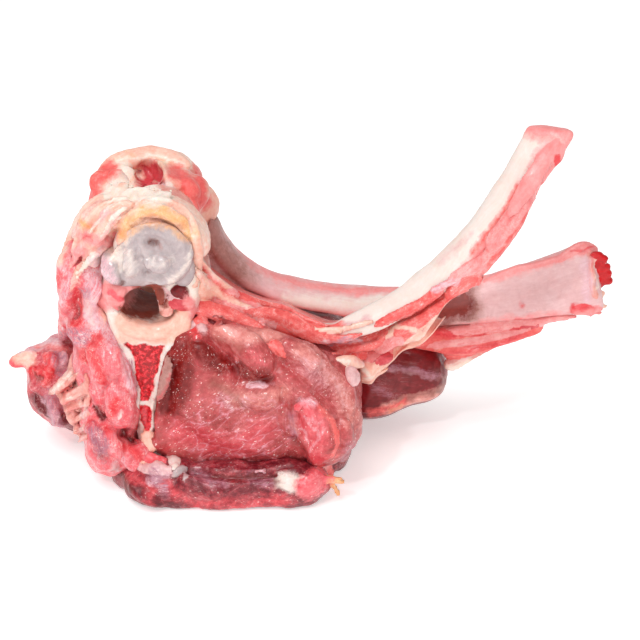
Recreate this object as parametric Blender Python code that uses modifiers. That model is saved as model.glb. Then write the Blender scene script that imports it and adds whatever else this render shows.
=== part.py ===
"""A raw bone-in mutton piece from the loin end, chine bone left on, lying on its cap side.

Sizes are in millimetres in the butcher's frame: x runs along the ribs, y from the near saw cut to
the far one, z up from the board, with x = 0 in the middle of the backbone. The last step moves the
piece so that its origin is under the middle of its bounding box, and everything is stored in metres.
"""

import math

import bmesh
import bpy
from mathutils import Euler, Matrix, Vector, noise

MM = 0.001

# Driving sizes of the animal and of the cut.
BODY_RADIUS = 11.8
BODY_WAIST = 0.86
SPINE_HEIGHT = 78.0
FAR_RISE = 1.5
VERTEBRA_LENGTH = 27.5
GAP = 0.35
NEAR_CUT = 0.0
FAR_VERTEBRA = NEAR_CUT + VERTEBRA_LENGTH + GAP
FAR_CUT = FAR_VERTEBRA + VERTEBRA_LENGTH
FLESH_FAR_CUT = FAR_CUT + 1.0
CANAL_CENTRE = (-1.5, 60.5)
CANAL_RADII = (8.8, 6.4)
CANAL_SIDES = 14
DISC_DEPTH = 3.0

# Where each rib lies behind the near cut, and the height at which the front one is sawn off.
FRONT_RIB = 13.0
REAR_RIB = 44.0
RIB_TOP = 111.0

# The middle of the whole piece, seen from above.
MIDDLE_X = 45.6
MIDDLE_Y = 21.2

# Skin detail: the voxel of a fused piece, how far its skin is relaxed, and its ripples.
FINE_VOXEL = 1.2
VOXEL = 1.4
RELAX = 3
RIPPLE_LENGTH = 7.0
BONE_RIPPLE = 0.3
DISC_RIPPLE = 0.4
FLESH_RIPPLE = 0.7
SHARP_ANGLE = 50
LOFT_SIDES = 14
LOFT_STEPS = 4

# Reach of the helpers that saw a face flat: well past the piece on every side.
REACH_X = (-80.0, 170.0)
REACH_Y = (-60.0, 120.0)
REACH_Z = (-40.0, 150.0)

BONE = ("bone", (0.86, 0.76, 0.66), 0.42)
CARTILAGE = ("cartilage", (0.80, 0.79, 0.77), 0.25)
LEAN = ("lean", (0.55, 0.12, 0.12), 0.35)
PALE_LEAN = ("pale_lean", (0.80, 0.30, 0.29), 0.35)
FAT = ("fat", (0.90, 0.72, 0.62), 0.40)


def clear_scene():
    for old in list(bpy.data.objects):
        bpy.data.objects.remove(old)


def new_collection(name):
    made = bpy.data.collections.new(name)
    bpy.context.scene.collection.children.link(made)
    return made


def material(kind):
    name, colour, roughness = kind
    made = bpy.data.materials.get(name) or bpy.data.materials.new(name)
    made.use_nodes = True
    shader = made.node_tree.nodes["Principled BSDF"]
    shader.inputs["Base Color"].default_value = (*colour, 1.0)
    shader.inputs["Roughness"].default_value = roughness
    shader.inputs["Metallic"].default_value = 0.0
    return made


def evaluated_mesh(obj):
    """The mesh of obj as its modifiers leave it, in world space."""
    bpy.context.view_layer.update()
    graph = bpy.context.evaluated_depsgraph_get()
    mesh = bpy.data.meshes.new_from_object(obj.evaluated_get(graph))
    mesh.transform(obj.matrix_world)
    return mesh


# Shapes. Each one is added to a bmesh, and shapes that overlap there are fused later.


def add_lump(bm, centre, radii, lean=0.0):
    """A closed ellipsoid, which leans by some degrees about y."""
    turn = Euler((0, math.radians(lean), 0))
    place = Matrix.LocRotScale(Vector(centre) * MM, turn, Vector(radii) * MM)
    bmesh.ops.create_icosphere(bm, subdivisions=3, radius=1.0, matrix=place)


def add_drum(bm, near, far, height, near_radius, far_radius):
    """A round drum along y, for the body of a vertebra."""
    place = Matrix.Translation(Vector((0, (near + far) / 2, height)) * MM)
    place @= Matrix.Rotation(math.radians(-90), 4, "X")
    bmesh.ops.create_cone(
        bm, cap_ends=True, segments=28, depth=(far - near) * MM,
        radius1=near_radius * MM, radius2=far_radius * MM, matrix=place,
    )


def smooth_path(stations, steps):
    """Evenly many points on a smooth curve through rows of numbers (Catmull-Rom)."""
    rows = [stations[0], *stations, stations[-1]]
    path = []
    for before, start, end, after in zip(rows, rows[1:], rows[2:], rows[3:]):
        for step in range(steps):
            t = step / steps
            weights = (
                -0.5 * t + t * t - 0.5 * t**3,
                1 - 2.5 * t * t + 1.5 * t**3,
                0.5 * t + 2 * t * t - 1.5 * t**3,
                -0.5 * t * t + 0.5 * t**3,
            )
            four = zip(before, start, end, after)
            path.append([sum(w * value for w, value in zip(weights, column)) for column in four])
    path.append(list(stations[-1]))
    return path


def add_loft(bm, stations):
    """A closed loft; a station is x, y, z, width, thickness and roll in degrees about the route.

    At roll 0 the width lies along y and the thickness square to the route; a positive roll lifts
    the far edge, which turns the upper face towards the near cut.
    """
    path = smooth_path(stations, LOFT_STEPS)
    rings = []
    for index, (x, y, z, width, thickness, roll) in enumerate(path):
        behind = Vector(path[max(index - 1, 0)][:3])
        ahead = Vector(path[min(index + 1, len(path) - 1)][:3])
        along = (ahead - behind).normalized()
        level = Vector((0, 1, 0))
        level = (level - along * level.dot(along)).normalized()
        raised = along.cross(level)
        angle = math.radians(roll)
        across = level * math.cos(angle) + raised * math.sin(angle)
        through = raised * math.cos(angle) - level * math.sin(angle)
        ring = []
        for side in range(LOFT_SIDES):
            turn = 2 * math.pi * side / LOFT_SIDES
            flank = across * (width / 2 * math.cos(turn)) + through * (thickness / 2 * math.sin(turn))
            ring.append(bm.verts.new((Vector((x, y, z)) + flank) * MM))
        rings.append(ring)
    for ring, after in zip(rings, rings[1:]):
        for side in range(LOFT_SIDES):
            other = (side + 1) % LOFT_SIDES
            bm.faces.new((ring[side], ring[other], after[other], after[side]))
    bm.faces.new(list(reversed(rings[0])))
    bm.faces.new(rings[-1])


def add_slab(bm, outline, near, far, rounding=0.0):
    """A flat outline in x and z, as thick as from near to far along y, with rounded rims."""
    curve = bpy.data.curves.new("slab", "CURVE")
    curve.dimensions = "2D"
    curve.fill_mode = "BOTH"
    curve.extrude = ((far - near) / 2 - rounding) * MM
    curve.bevel_depth = rounding * MM
    curve.bevel_resolution = 2
    curve.offset = -rounding * MM
    spline = curve.splines.new("POLY")
    spline.points.add(len(outline) - 1)
    spline.use_cyclic_u = True
    for point, (across, up) in zip(spline.points, outline):
        point.co = (across * MM, up * MM, 0.0, 1.0)
    slab = bpy.data.objects.new("slab", curve)
    slab.rotation_euler = (math.radians(90), 0, 0)
    slab.location = (0, (near + far) / 2 * MM, 0)
    bpy.context.scene.collection.objects.link(slab)
    mesh = evaluated_mesh(slab)
    bpy.data.objects.remove(slab)
    part = bmesh.new()
    part.from_mesh(mesh)
    bmesh.ops.remove_doubles(part, verts=part.verts, dist=0.01 * MM)
    bmesh.ops.recalc_face_normals(part, faces=part.faces)
    part.to_mesh(mesh)
    part.free()
    bm.from_mesh(mesh)
    bpy.data.meshes.remove(mesh)


def mesh_of(name, bm):
    mesh = bpy.data.meshes.new(name)
    bm.to_mesh(mesh)
    bm.free()
    return mesh


# Cutters. They are helpers only, and go at the end.


def add_cutter(name, mesh):
    cutter = bpy.data.objects.new("cutter_" + name, mesh)
    cutters.objects.link(cutter)
    cutter.hide_render = True
    cutter.display_type = "WIRE"
    return cutter


def cutters_round(obj):
    """Two helpers: one a gap outside obj, and obj itself for creases where the first folds over."""
    grown = add_cutter(obj.name, obj.data.copy())
    grow = grown.modifiers.new("grow", "DISPLACE")
    grow.strength = GAP * MM
    grow.mid_level = 0.0
    return [grown, add_cutter(obj.name + "_itself", obj.data.copy())]


def cutter_slab(name, outline, near, far):
    bm = bmesh.new()
    add_slab(bm, outline, near, far)
    return add_cutter(name, mesh_of(name, bm))


def cutter_box(name, x=REACH_X, y=REACH_Y, z=REACH_Z):
    outline = [(x[0], z[0]), (x[1], z[0]), (x[1], z[1]), (x[0], z[1])]
    return cutter_slab(name, outline, *y)


def cutter_lump(name, centre, radii):
    bm = bmesh.new()
    add_lump(bm, centre, radii)
    return add_cutter(name, mesh_of(name, bm))


# Fusing and cutting.


def main_body(mesh):
    """Drops the scraps that a cut leaves beside the largest connected shape."""
    bm = bmesh.new()
    bm.from_mesh(mesh)
    bmesh.ops.remove_doubles(bm, verts=bm.verts, dist=0.0005 * MM)
    left = set(bm.verts)
    shapes = []
    while left:
        shape = set()
        front = [left.pop()]
        while front:
            vert = front.pop()
            shape.add(vert)
            near = [edge.other_vert(vert) for edge in vert.link_edges]
            fresh = [v for v in near if v in left]
            left.difference_update(fresh)
            front.extend(fresh)
        shapes.append(shape)
    shapes.sort(key=len)
    for scrap in shapes[:-1]:
        bmesh.ops.delete(bm, geom=list(scrap), context="VERTS")
    bmesh.ops.triangulate(bm, faces=bm.faces)
    bm.to_mesh(mesh)
    bm.free()
    return mesh


def ripple(mesh, height):
    """Low swells over the skin, the same in every run."""
    normals = [vert.normal.copy() for vert in mesh.vertices]
    for vert, normal in zip(mesh.vertices, normals):
        place = vert.co / (RIPPLE_LENGTH * MM)
        swell = noise.noise(place) + 0.5 * noise.noise(place * 2.1)
        vert.co += normal * (height * MM * swell)


def fused(name, bm, kind, triangles, clear_of, cuts, voxel, height):
    """One closed skin over the overlapping shapes in bm, cut clear of its neighbours."""
    obj = bpy.data.objects.new(name, mesh_of(name, bm))
    piece.objects.link(obj)
    remesh = obj.modifiers.new("skin", "REMESH")
    remesh.mode = "VOXEL"
    remesh.voxel_size = voxel * MM
    smooth = obj.modifiers.new("relax", "SMOOTH")
    smooth.factor = 0.5
    smooth.iterations = RELAX
    skin = evaluated_mesh(obj)
    ripple(skin, height)
    obj.modifiers.clear()
    obj.data = skin
    thin = obj.modifiers.new("thin", "DECIMATE")
    thin.ratio = min(1.0, triangles / (2 * len(skin.polygons)))
    obj.data = main_body(evaluated_mesh(obj))
    obj.modifiers.clear()
    around = [cutter for other in clear_of for cutter in cutters_round(other)]
    for cutter in [*cuts, *around]:
        cut = obj.modifiers.new("cut", "BOOLEAN")
        cut.operation = "DIFFERENCE"
        # The grown cutters fold over in creases, where the default solver returns nothing.
        cut.solver = "MANIFOLD"
        cut.object = cutter
        obj.data = main_body(evaluated_mesh(obj))
        obj.modifiers.clear()
    obj.data.name = name
    obj.data.shade_smooth()
    obj.data.set_sharp_from_angle(angle=math.radians(SHARP_ANGLE))
    obj.data.materials.clear()
    obj.data.materials.append(material(kind))
    return obj


def bone(name, triangles, lofts, clear_of, cuts=()):
    bm = bmesh.new()
    for stations in lofts:
        add_loft(bm, stations)
    return fused(name, bm, BONE, triangles, clear_of, cuts, FINE_VOXEL, BONE_RIPPLE)


def flesh(name, kind, triangles, clear_of, cuts=(), lumps=(), lofts=(), slabs=(), height=FLESH_RIPPLE):
    bm = bmesh.new()
    for lump in lumps:
        add_lump(bm, *lump)
    for stations in lofts:
        add_loft(bm, stations)
    for slab in slabs:
        add_slab(bm, *slab)
    return fused(name, bm, kind, triangles, clear_of, cuts, VOXEL, height)


# The spinous process, its tip down towards the board, and the arch round the canal, as x and z.
SPINE_OUTLINE = [
    (-11.5, 53), (9.5, 54), (4.8, 46.5), (3.2, 39), (-0.2, 26), (-1.4, 14),
    (-7.2, 13), (-6.2, 24), (-6.4, 35), (-8.6, 46.5),
]
ARCH_OUTLINE = [(-14, 73), (-15.5, 62), (-12.5, 50), (9.5, 51.5), (12.5, 60), (12.5, 73)]
ARCH_SHORT = 2.0
SPINE_SHORT = 5.0
CORE_SHORT = 3.0


def canal_outline():
    across, up = CANAL_CENTRE
    wide, tall = CANAL_RADII
    turns = [2 * math.pi * side / CANAL_SIDES for side in range(CANAL_SIDES)]
    return [(across + wide * math.cos(turn), up + tall * math.sin(turn)) for turn in turns]


def vertebra(name, near, triangles, height, wings, hollows=()):
    """One bone of the back, sawn off flat at both ends: body, canal, arch, spine and side wings."""
    far = near + VERTEBRA_LENGTH
    middle = (near + far) / 2
    waist = BODY_RADIUS * BODY_WAIST
    bm = bmesh.new()
    add_drum(bm, near, middle, height, BODY_RADIUS, waist)
    add_drum(bm, middle, far, height, waist, BODY_RADIUS)
    add_drum(bm, near + CORE_SHORT, far - CORE_SHORT, height, waist, waist)
    add_slab(bm, ARCH_OUTLINE, near, far - ARCH_SHORT)
    add_slab(bm, SPINE_OUTLINE, near, far - SPINE_SHORT)
    for centre, radii in wings:
        add_lump(bm, centre, radii)
    cuts = [
        canal,
        cutter_box("near_" + name, y=(REACH_Y[0], near)),
        cutter_box("far_" + name, y=(far, REACH_Y[1])),
    ]
    cuts += [cutter_lump("hollow_" + name, centre, radii) for centre, radii in hollows]
    return fused(name, bm, BONE, triangles, [], cuts, FINE_VOXEL, BONE_RIPPLE)


clear_scene()
piece = new_collection("mutton_piece")
cutters = new_collection("cutters")

# The board is the plane z = 0: every flesh piece that reaches it is pressed flat there.
board = cutter_box("board", z=(REACH_Z[0], 0.0))
far_saw = cutter_box("far_saw", y=(FLESH_FAR_CUT, REACH_Y[1]))
canal = cutter_slab("canal", canal_outline(), *REACH_Y)
rib_saw = cutter_box("rib_saw", x=(80.0, REACH_X[1]), z=(RIB_TOP, REACH_Z[1]))

# Bones and cartilage.

vertebra_front = vertebra(
    "vertebra_front", NEAR_CUT, 600, SPINE_HEIGHT,
    wings=[((-17, 10, 63), (8, 7, 8)), ((14, 11, 66), (6, 7, 6))],
)
vertebra_rear = vertebra(
    "vertebra_rear", FAR_VERTEBRA, 600, SPINE_HEIGHT + FAR_RISE,
    wings=[
        ((-15, 42, 79), (9, 8, 8)),
        ((-17, 42, 68), (8, 9, 9)),
        ((10, 36, 84), (5, 6, 5)),
        ((11, 44, 76), (6, 7, 7)),
    ],
    hollows=[((-4, 37, 93), (4.5, 5.5, 5))],
)
backbone = [vertebra_front, vertebra_rear]

disc = flesh(
    "disc", CARTILAGE, 260, clear_of=backbone, height=DISC_RIPPLE,
    lumps=[
        ((0, 0, 77), (12.4, DISC_DEPTH, 10.4)),
        ((-8, 0, 72), (7, DISC_DEPTH, 6)),
        ((9, 0, 73), (4, DISC_DEPTH, 7)),
    ],
)

rib_front = bone(
    "rib_front", 500, clear_of=backbone, cuts=[rib_saw],
    lofts=[[
        (16, FRONT_RIB, 65, 11, 7, 0),
        (24, FRONT_RIB, 57, 12, 6.5, 5),
        (36, FRONT_RIB, 51, 12, 6, 10),
        (48, FRONT_RIB, 48.5, 12, 6, 15),
        (60, FRONT_RIB, 50, 12, 6, 25),
        (72, FRONT_RIB, 56, 12, 6, 32),
        (84, FRONT_RIB, 65, 12, 6, 38),
        (95, FRONT_RIB, 77, 12, 6, 45),
        (105, FRONT_RIB, 92, 12.5, 6, 52),
        (112, FRONT_RIB, 104, 14, 6, 60),
        (118.5, FRONT_RIB, 118, 15, 6, 64),
    ]],
)
rib_rear = bone(
    "rib_rear", 550, clear_of=backbone,
    lofts=[[
        (12, REAR_RIB, 80, 13, 8, -10),
        (14.5, REAR_RIB, 66, 14, 7, 0),
        (25, REAR_RIB, 53, 14, 6.5, 10),
        (41, REAR_RIB, 46.5, 14, 6, 15),
        (58, REAR_RIB, 43.5, 14, 6, 25),
        (74, REAR_RIB, 42, 15, 6, 35),
        (90, REAR_RIB, 42.5, 16, 6, 42),
        (106, REAR_RIB, 45, 18, 6.5, 50),
        (122, REAR_RIB, 48.5, 21, 7, 55),
        (137, REAR_RIB, 52, 25, 8, 58),
    ]],
)
bones = [*backbone, rib_front, rib_rear]

# The eye of the loin: full and round at the near cut, lower behind, where the ribs lie on it.
EYE_NEAR = [
    (-5, 16), (6, 7), (24, 6), (42, 6), (55, 11), (61, 24),
    (59, 38), (48, 44), (34, 47), (20, 52), (6, 53), (-3, 40),
]
EYE_FAR = [
    (-5, 18), (8, 7), (24, 5), (44, 6), (56, 14), (60, 27),
    (56, 36), (40, 41), (24, 46), (10, 50), (-3, 40),
]
loin_eye = flesh(
    "loin_eye", LEAN, 800, clear_of=bones, cuts=[far_saw, canal],
    lumps=[
        ((30, -2, 33), (26, 8, 21)),
        ((49, 0, 23), (12, 10, 14)),
        ((14, 0, 44), (11, 8, 11)),
        ((22, 2, 50), (14, 6, 5)),
    ],
    slabs=[(EYE_NEAR, -4, 34, 5), (EYE_FAR, 28, 62, 4)],
)

# The cap that the piece lies on, spread wide and pressed flat underneath.
cap_muscle = flesh(
    "cap_muscle", PALE_LEAN, 650, clear_of=[*bones, loin_eye], cuts=[board, far_saw],
    lumps=[
        ((3, -6, 5), (14, 9, 8)),
        ((20, -6, 4), (16, 9, 9)),
        ((38, -6, 5), (14, 9, 9)),
        ((-3, 8, 4), (14, 14, 9)),
        ((8, 30, 4), (28, 32, 9)),
        ((40, 28, 4), (20, 32, 9)),
        ((-8, 40, 6), (22, 24, 12)),
    ],
)

# Lean and membrane on the sawn side of the backbone, in lobes one under another.
near_lean = flesh(
    "near_lean", PALE_LEAN, 650, clear_of=[*bones, cap_muscle, loin_eye], cuts=[board, far_saw, canal],
    lumps=[
        ((-20, 14, 67), (9, 14, 12)),
        ((-19, 12, 52), (9, 13, 12)),
        ((-13, 8, 37), (8, 11, 14)),
        ((-11, 3, 27), (6, 8, 9)),
        ((-19, 14, 36), (8, 13, 14)),
        ((-16, 10, 19), (9, 12, 12)),
        ((-15, 4, 12), (9, 10, 9)),
        ((-8, 2, 12), (8, 7, 5)),
        ((-20, 36, 62), (9, 22, 14)),
        ((-14, 40, 42), (15, 24, 20)),
        ((-12, 44, 22), (14, 20, 14)),
    ],
)

side_lean = flesh(
    "side_lean", LEAN, 400, clear_of=[*bones, near_lean, cap_muscle], cuts=[board, far_saw],
    lumps=[
        ((-33.5, 34, 20), (12, 17, 15)),
        ((-27, 42, 14), (12, 20, 14)),
        ((-41, 32, 28), (6, 7, 4), 25),
    ],
)

# Leaves of fat that hang side by side, each one lower than the last.
LEAVES = 5
LEAF_DROP = 4.6


def leaf_of_fat(k):
    return [
        (-21, 16, 40 - 5 * k, 6, 4, 20),
        (-26 + 0.3 * k, 11, 34 - LEAF_DROP * k, 7, 4, 30),
        (-33 + 1.7 * k, 9, 27 - 3.8 * k, 3, 2.5, 40),
    ]


side_fat = flesh(
    "side_fat", FAT, 500, clear_of=[*bones, near_lean, cap_muscle, side_lean], cuts=[board],
    lumps=[((-25, 17, 31), (4, 8, 9)), ((-25, 17, 18), (4, 8, 9))],
    lofts=[leaf_of_fat(k) for k in range(LEAVES)],
)

# Fat and ligament over the top of the near vertebra, from the rib root round to the left side.
HOOD_RADII = (13.0, 12.0)
HOOD_LUMP = (6, 7.5, 3.2)
HOOD_ANGLES = range(10, 200, 15)


def hood_lump(angle):
    across, up = HOOD_RADII
    drift = 0.03 * (angle - 20)
    turn = math.radians(angle)
    centre = (across * math.cos(turn) - drift, 6, SPINE_HEIGHT + up * math.sin(turn))
    return (centre, HOOD_LUMP, 90 - angle)


chine_fat = flesh(
    "chine_fat", FAT, 450, clear_of=[*bones, disc, near_lean], cuts=[canal],
    lumps=[
        *(hood_lump(angle) for angle in HOOD_ANGLES),
        ((-16.5, 12, 81), (8, 11, 7)),
        ((-12, 10, 88), (7, 8, 4)),
    ],
)

# Lean between the ribs, from the backbone out to where the ribs part, and then up one edge.
rib_lean_front = flesh(
    "rib_lean_front", PALE_LEAN, 650, clear_of=[*bones, loin_eye, cap_muscle],
    lofts=[[
        (14, 27, 62, 26, 9, 0),
        (24, 28, 52, 26, 9, 4),
        (38, 28, 46, 28, 9, 6),
        (54, 26, 43.5, 30, 9, 8),
        (68, 22, 46, 22, 9, 16),
        (80, 16, 54, 16, 10, 32),
        (91, 13, 66, 11, 8, 45),
        (101, 9, 79, 9, 7, 50),
        (112, 8, 101, 6, 5, 55),
    ]],
)
rib_lean_rear = flesh(
    "rib_lean_rear", PALE_LEAN, 350, clear_of=[*bones, loin_eye, cap_muscle, rib_lean_front],
    lofts=[[
        (60, 45, 37, 24, 8, 10),
        (78, 45, 35, 20, 8, 20),
        (94, 42, 32, 15, 6, 38),
        (108, 41, 34, 10, 5, 45),
        (121, 41, 37, 5, 4, 50),
    ]],
)

# The end of the flank behind the eye, and the fat between the two.
flank_lean = flesh(
    "flank_lean", LEAN, 350,
    clear_of=[*bones, loin_eye, cap_muscle, rib_lean_front, rib_lean_rear],
    cuts=[board, far_saw],
    lumps=[((66, 44, 18), (12, 16, 18)), ((78, 46, 18), (12, 15, 15))],
)
flank_fat = flesh(
    "flank_fat", FAT, 400,
    clear_of=[*bones, loin_eye, cap_muscle, rib_lean_front, rib_lean_rear, flank_lean],
    lumps=[
        ((63, 22, 32), (7, 8, 6)),
        ((65, 23, 25), (5, 8, 7)),
        ((72, 22, 35), (7, 7, 5)),
        ((81, 20, 43), (8, 6, 4), -35),
    ],
)

# Everything was placed in the butcher's frame: now the origin goes under the middle of the piece.
for part in piece.objects:
    part.data.transform(Matrix.Translation(Vector((-MIDDLE_X, -MIDDLE_Y, 0)) * MM))
for helper in list(cutters.objects):
    bpy.data.objects.remove(helper)
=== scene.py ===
# %% [markdown]
# A raw bone-in mutton piece, seen from its sawn end.
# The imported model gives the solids: two bones of the back with a disc between them, two ribs, the
# muscles and the fat. This lesson dresses each solid in a skin of its own, with torn edges,
# fibres, marrow and wet film. One lump could be sculpted by hand instead, but skins over the
# solids keep the real size, and each can be changed by one number.

# %% Load the solids
import itertools
import math

import bmesh
import bpy
import numpy as np
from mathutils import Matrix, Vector
from mathutils.bvhtree import BVHTree


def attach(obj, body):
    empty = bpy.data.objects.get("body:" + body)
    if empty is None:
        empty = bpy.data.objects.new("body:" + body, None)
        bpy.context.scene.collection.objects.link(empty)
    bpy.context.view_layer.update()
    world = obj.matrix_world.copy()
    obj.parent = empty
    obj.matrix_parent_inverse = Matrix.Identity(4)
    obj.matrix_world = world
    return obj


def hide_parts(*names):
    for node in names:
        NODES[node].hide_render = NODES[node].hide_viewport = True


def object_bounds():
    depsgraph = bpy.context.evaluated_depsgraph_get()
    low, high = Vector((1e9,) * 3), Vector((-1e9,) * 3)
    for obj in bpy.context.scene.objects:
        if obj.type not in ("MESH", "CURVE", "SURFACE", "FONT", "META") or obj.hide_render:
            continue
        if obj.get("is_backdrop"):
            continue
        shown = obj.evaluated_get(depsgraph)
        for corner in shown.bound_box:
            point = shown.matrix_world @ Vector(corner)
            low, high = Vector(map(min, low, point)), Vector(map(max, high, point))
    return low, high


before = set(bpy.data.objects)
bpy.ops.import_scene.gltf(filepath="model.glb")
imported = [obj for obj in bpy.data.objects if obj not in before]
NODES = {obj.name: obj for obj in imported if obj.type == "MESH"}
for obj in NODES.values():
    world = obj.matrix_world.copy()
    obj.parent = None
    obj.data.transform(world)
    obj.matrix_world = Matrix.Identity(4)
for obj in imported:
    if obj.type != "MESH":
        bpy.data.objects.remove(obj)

CAD_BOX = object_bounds()
print("solids:", len(NODES))

# %% [markdown]
# A butcher measures from the backbone: x along the ribs, y back from the near cut, z up, all in
# millimetres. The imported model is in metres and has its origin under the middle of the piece.
# Two small functions go between the two, so every number below can be read with a ruler.

# %% Millimetres from the backbone
MM = 0.001
MIDDLE = np.array([45.6, 21.2, 0.0])


def to_row(points):
    return (np.asarray(points, float) - MIDDLE) * MM


def to_ruler(points):
    return np.asarray(points, float) / MM + MIDDLE


print("the origin, from the backbone:", to_ruler((0, 0, 0)))

# %% [markdown]
# The camera is a long lens half a metre away, looking down at 24 degrees. A shorter lens would
# stand closer and swell the near end.
# Marks are easiest to place where they are seen, so one function says where a point lands in the
# 640-pixel frame, and another gives the point behind a place in the frame at a chosen depth.
# The marks then live on the surface itself and stay there from every side.

# %% The camera and the frame
TILT = math.radians(24)
DISTANCE = 500.0
FOCAL = 1700.0
FRAME_SIZE = 640
HALF = FRAME_SIZE / 2
SENSOR = 36.0
TARGET = np.array([48.5, 0.0, 56.3])
BACK = np.array([0.0, -math.cos(TILT), math.sin(TILT)])
UP = np.array([0.0, math.sin(TILT), math.cos(TILT)])

lens = bpy.data.cameras.new("long_lens")
lens.sensor_width = SENSOR
lens.lens = SENSOR * FOCAL / FRAME_SIZE
camera = bpy.data.objects.new("camera", lens)
bpy.context.scene.collection.objects.link(camera)
camera.location = to_row(TARGET + BACK * DISTANCE)
camera.rotation_euler = (math.pi / 2 - TILT, 0, 0)
bpy.context.scene.camera = camera


def seen(points):
    """Where points in ruler millimetres land in the frame, as pixels right and down."""
    off = points - TARGET
    depth = DISTANCE - off @ BACK
    return np.stack([HALF + FOCAL * off[:, 0] / depth, HALF - FOCAL * (off @ UP) / depth], 1)


def at(across, down, depth):
    """The point that is seen at that pixel and lies depth mm behind the near cut."""
    rise = (HALF - down) / FOCAL
    back = depth - TARGET[1]
    up = rise * (DISTANCE + back * math.cos(TILT)) - back * math.sin(TILT)
    up /= math.cos(TILT) + rise * math.sin(TILT)
    away = DISTANCE + back * math.cos(TILT) - up * math.sin(TILT)
    return np.array([TARGET[0] + (across - HALF) * away / FOCAL, depth, TARGET[2] + up])


print("near cut, middle of the frame:", at(HALF, HALF, 0).round(1))

# %% [markdown]
# Raw meat is shown on a pale floor under large soft lamps, as in a catalogue, because small hard
# ones burn white spots into the wet film. A wide lamp above models the forms, one from the front
# opens the shadows, a small one gives the glints, and the pale surroundings fill the rest.
# The plain view transform keeps whites white.

# %% Floor and lamps
LAMPS = {
    # name: place in metres, side in metres, watts
    "lamp_above": ((-0.25, -0.35, 0.95), 0.6, 4.4),
    "lamp_front": ((0.15, -1.10, 0.45), 0.8, 2.2),
    "lamp_small": ((-0.35, -0.70, 0.80), 0.06, 1.8),
}
SKY_COLOUR = (1.0, 0.985, 0.975, 1.0)
SKY_STRENGTH = 0.5
FLOOR_SIDE = 6.0
FLOOR_DROP = 0.0004

for name, (place, size, watts) in LAMPS.items():
    light = bpy.data.lights.new(name, "AREA")
    light.size = size
    light.energy = watts
    lamp = bpy.data.objects.new(name, light)
    bpy.context.scene.collection.objects.link(lamp)
    lamp.location = place
    lamp.rotation_euler = (-Vector(place)).to_track_quat("-Z", "Y").to_euler()

surroundings = bpy.data.worlds.new("surroundings")
surroundings.use_nodes = True
sky = surroundings.node_tree.nodes["Background"]
sky.inputs["Color"].default_value = SKY_COLOUR
sky.inputs["Strength"].default_value = SKY_STRENGTH
bpy.context.scene.world = surroundings
bpy.context.scene.view_settings.view_transform = "Standard"

plane = bpy.data.meshes.new("floor")
side = FLOOR_SIDE / 2
corners = [(-side, -side, -FLOOR_DROP), (side, -side, -FLOOR_DROP), (side, side, -FLOOR_DROP),
           (-side, side, -FLOOR_DROP)]
plane.from_pydata(corners, [], [(0, 1, 2, 3)])
floor = bpy.data.objects.new("floor", plane)
bpy.context.scene.collection.objects.link(floor)
floor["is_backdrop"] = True
print("lamps:", len(LAMPS), "- floor side, m:", FLOOR_SIDE)

# %% [markdown]
# Flesh is never smooth, it swells and sags. The swells could come from Blender's own textures,
# but numpy works out steady noise for all the points of a mesh at once, and gives the same
# result on every run. Finer swells on the large ones make a surface look grown, not moulded.

# %% Steady noise
STRIDES = (374761393, 668265263, 2147483629)
MASK = 0xFFFFFFFF
STIR = 1274126177
SWELL_GAIN = 1.2


def corner_value(cell, seed):
    """A steady random number from -1 to 1 for each whole-numbered corner."""
    mixed = sum(cell[:, k] * STRIDES[k] for k in range(3))
    mixed = (mixed + seed * STIR) & MASK
    mixed = ((mixed ^ (mixed >> 13)) * STIR) & MASK
    return (mixed ^ (mixed >> 16)) / (MASK / 2) - 1.0


def corner_vector(cell, seed):
    return np.stack([corner_value(cell, 3 * seed + k) for k in range(3)], 1)


def swell(points, size, seed=0):
    """Smooth noise, about -1 to 1, whose swells are about size mm across."""
    scaled = points / size
    cell = np.floor(scaled).astype(np.int64)
    inside = scaled - cell
    ease = inside**3 * (inside * (inside * 6 - 15) + 10)
    total = np.zeros(len(points))
    for corner in itertools.product((0, 1), repeat=3):
        step = np.array(corner)
        share = np.prod(np.where(step, ease, 1 - ease), axis=1)
        total += share * ((inside - step) * corner_vector(cell + step, seed)).sum(1)
    return total * SWELL_GAIN


def rough(points, size, seed=0, layers=3):
    """Swells with finer swells on them."""
    return sum(swell(points, size / 2**k, seed + k) / 2**k for k in range(layers))


trial = np.array([[0, 0, 0], [2, 1, 0], [4, 2, 0.0]])
print("swells at 0, 2 and 4 mm:", rough(trial, 6.0).round(2))

# %% [markdown]
# Muscle splits into fibres and fat into lobules. Three turns on the same noise give them:
# swells drawn out along the fibres, sharp crests between round valleys, and rounded cells.

# %% Fibres, crests and cells
CREST = 2.2
CELL_STRAY = 0.42
FURTHEST = 9.0


def drawn_out(points, way, times):
    """Points squeezed along way, so that noise on them is drawn out that many times."""
    way = np.array(way, float) / np.linalg.norm(way)
    return points + np.outer(points @ way, way) * (1 / times - 1)


def ridged(points, size, seed=0):
    """Sharp crests between round valleys, 0 to 1."""
    return np.clip(1 - CREST * np.abs(swell(points, size, seed)), 0, 1)


def cells(points, size, seed=0):
    """0 in the middle of a lobule and about 1 on its rim."""
    scaled = points / size
    home = np.floor(scaled).astype(np.int64)
    nearest = np.full(len(points), FURTHEST)
    for step in itertools.product((-1, 0, 1), repeat=3):
        cell = home + np.array(step)
        spot = cell + 0.5 + CELL_STRAY * corner_vector(cell, seed)
        nearest = np.minimum(nearest, ((scaled - spot) ** 2).sum(1))
    return np.sqrt(nearest)


print("cells at 0 and 2 mm:", cells(np.array([[0, 0, 0], [2, 1, 0.0]]), 4.0).round(2))

# %% [markdown]
# A mark on the meat is a line or an area. It could be painted by hand as a weight, but pixels
# where it is seen can be read off and corrected. Each mark becomes a field from 0 to 1 that
# crosses one half on the mark's edge, with a soft border, so that the material can sharpen and
# fray that edge later.

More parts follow.
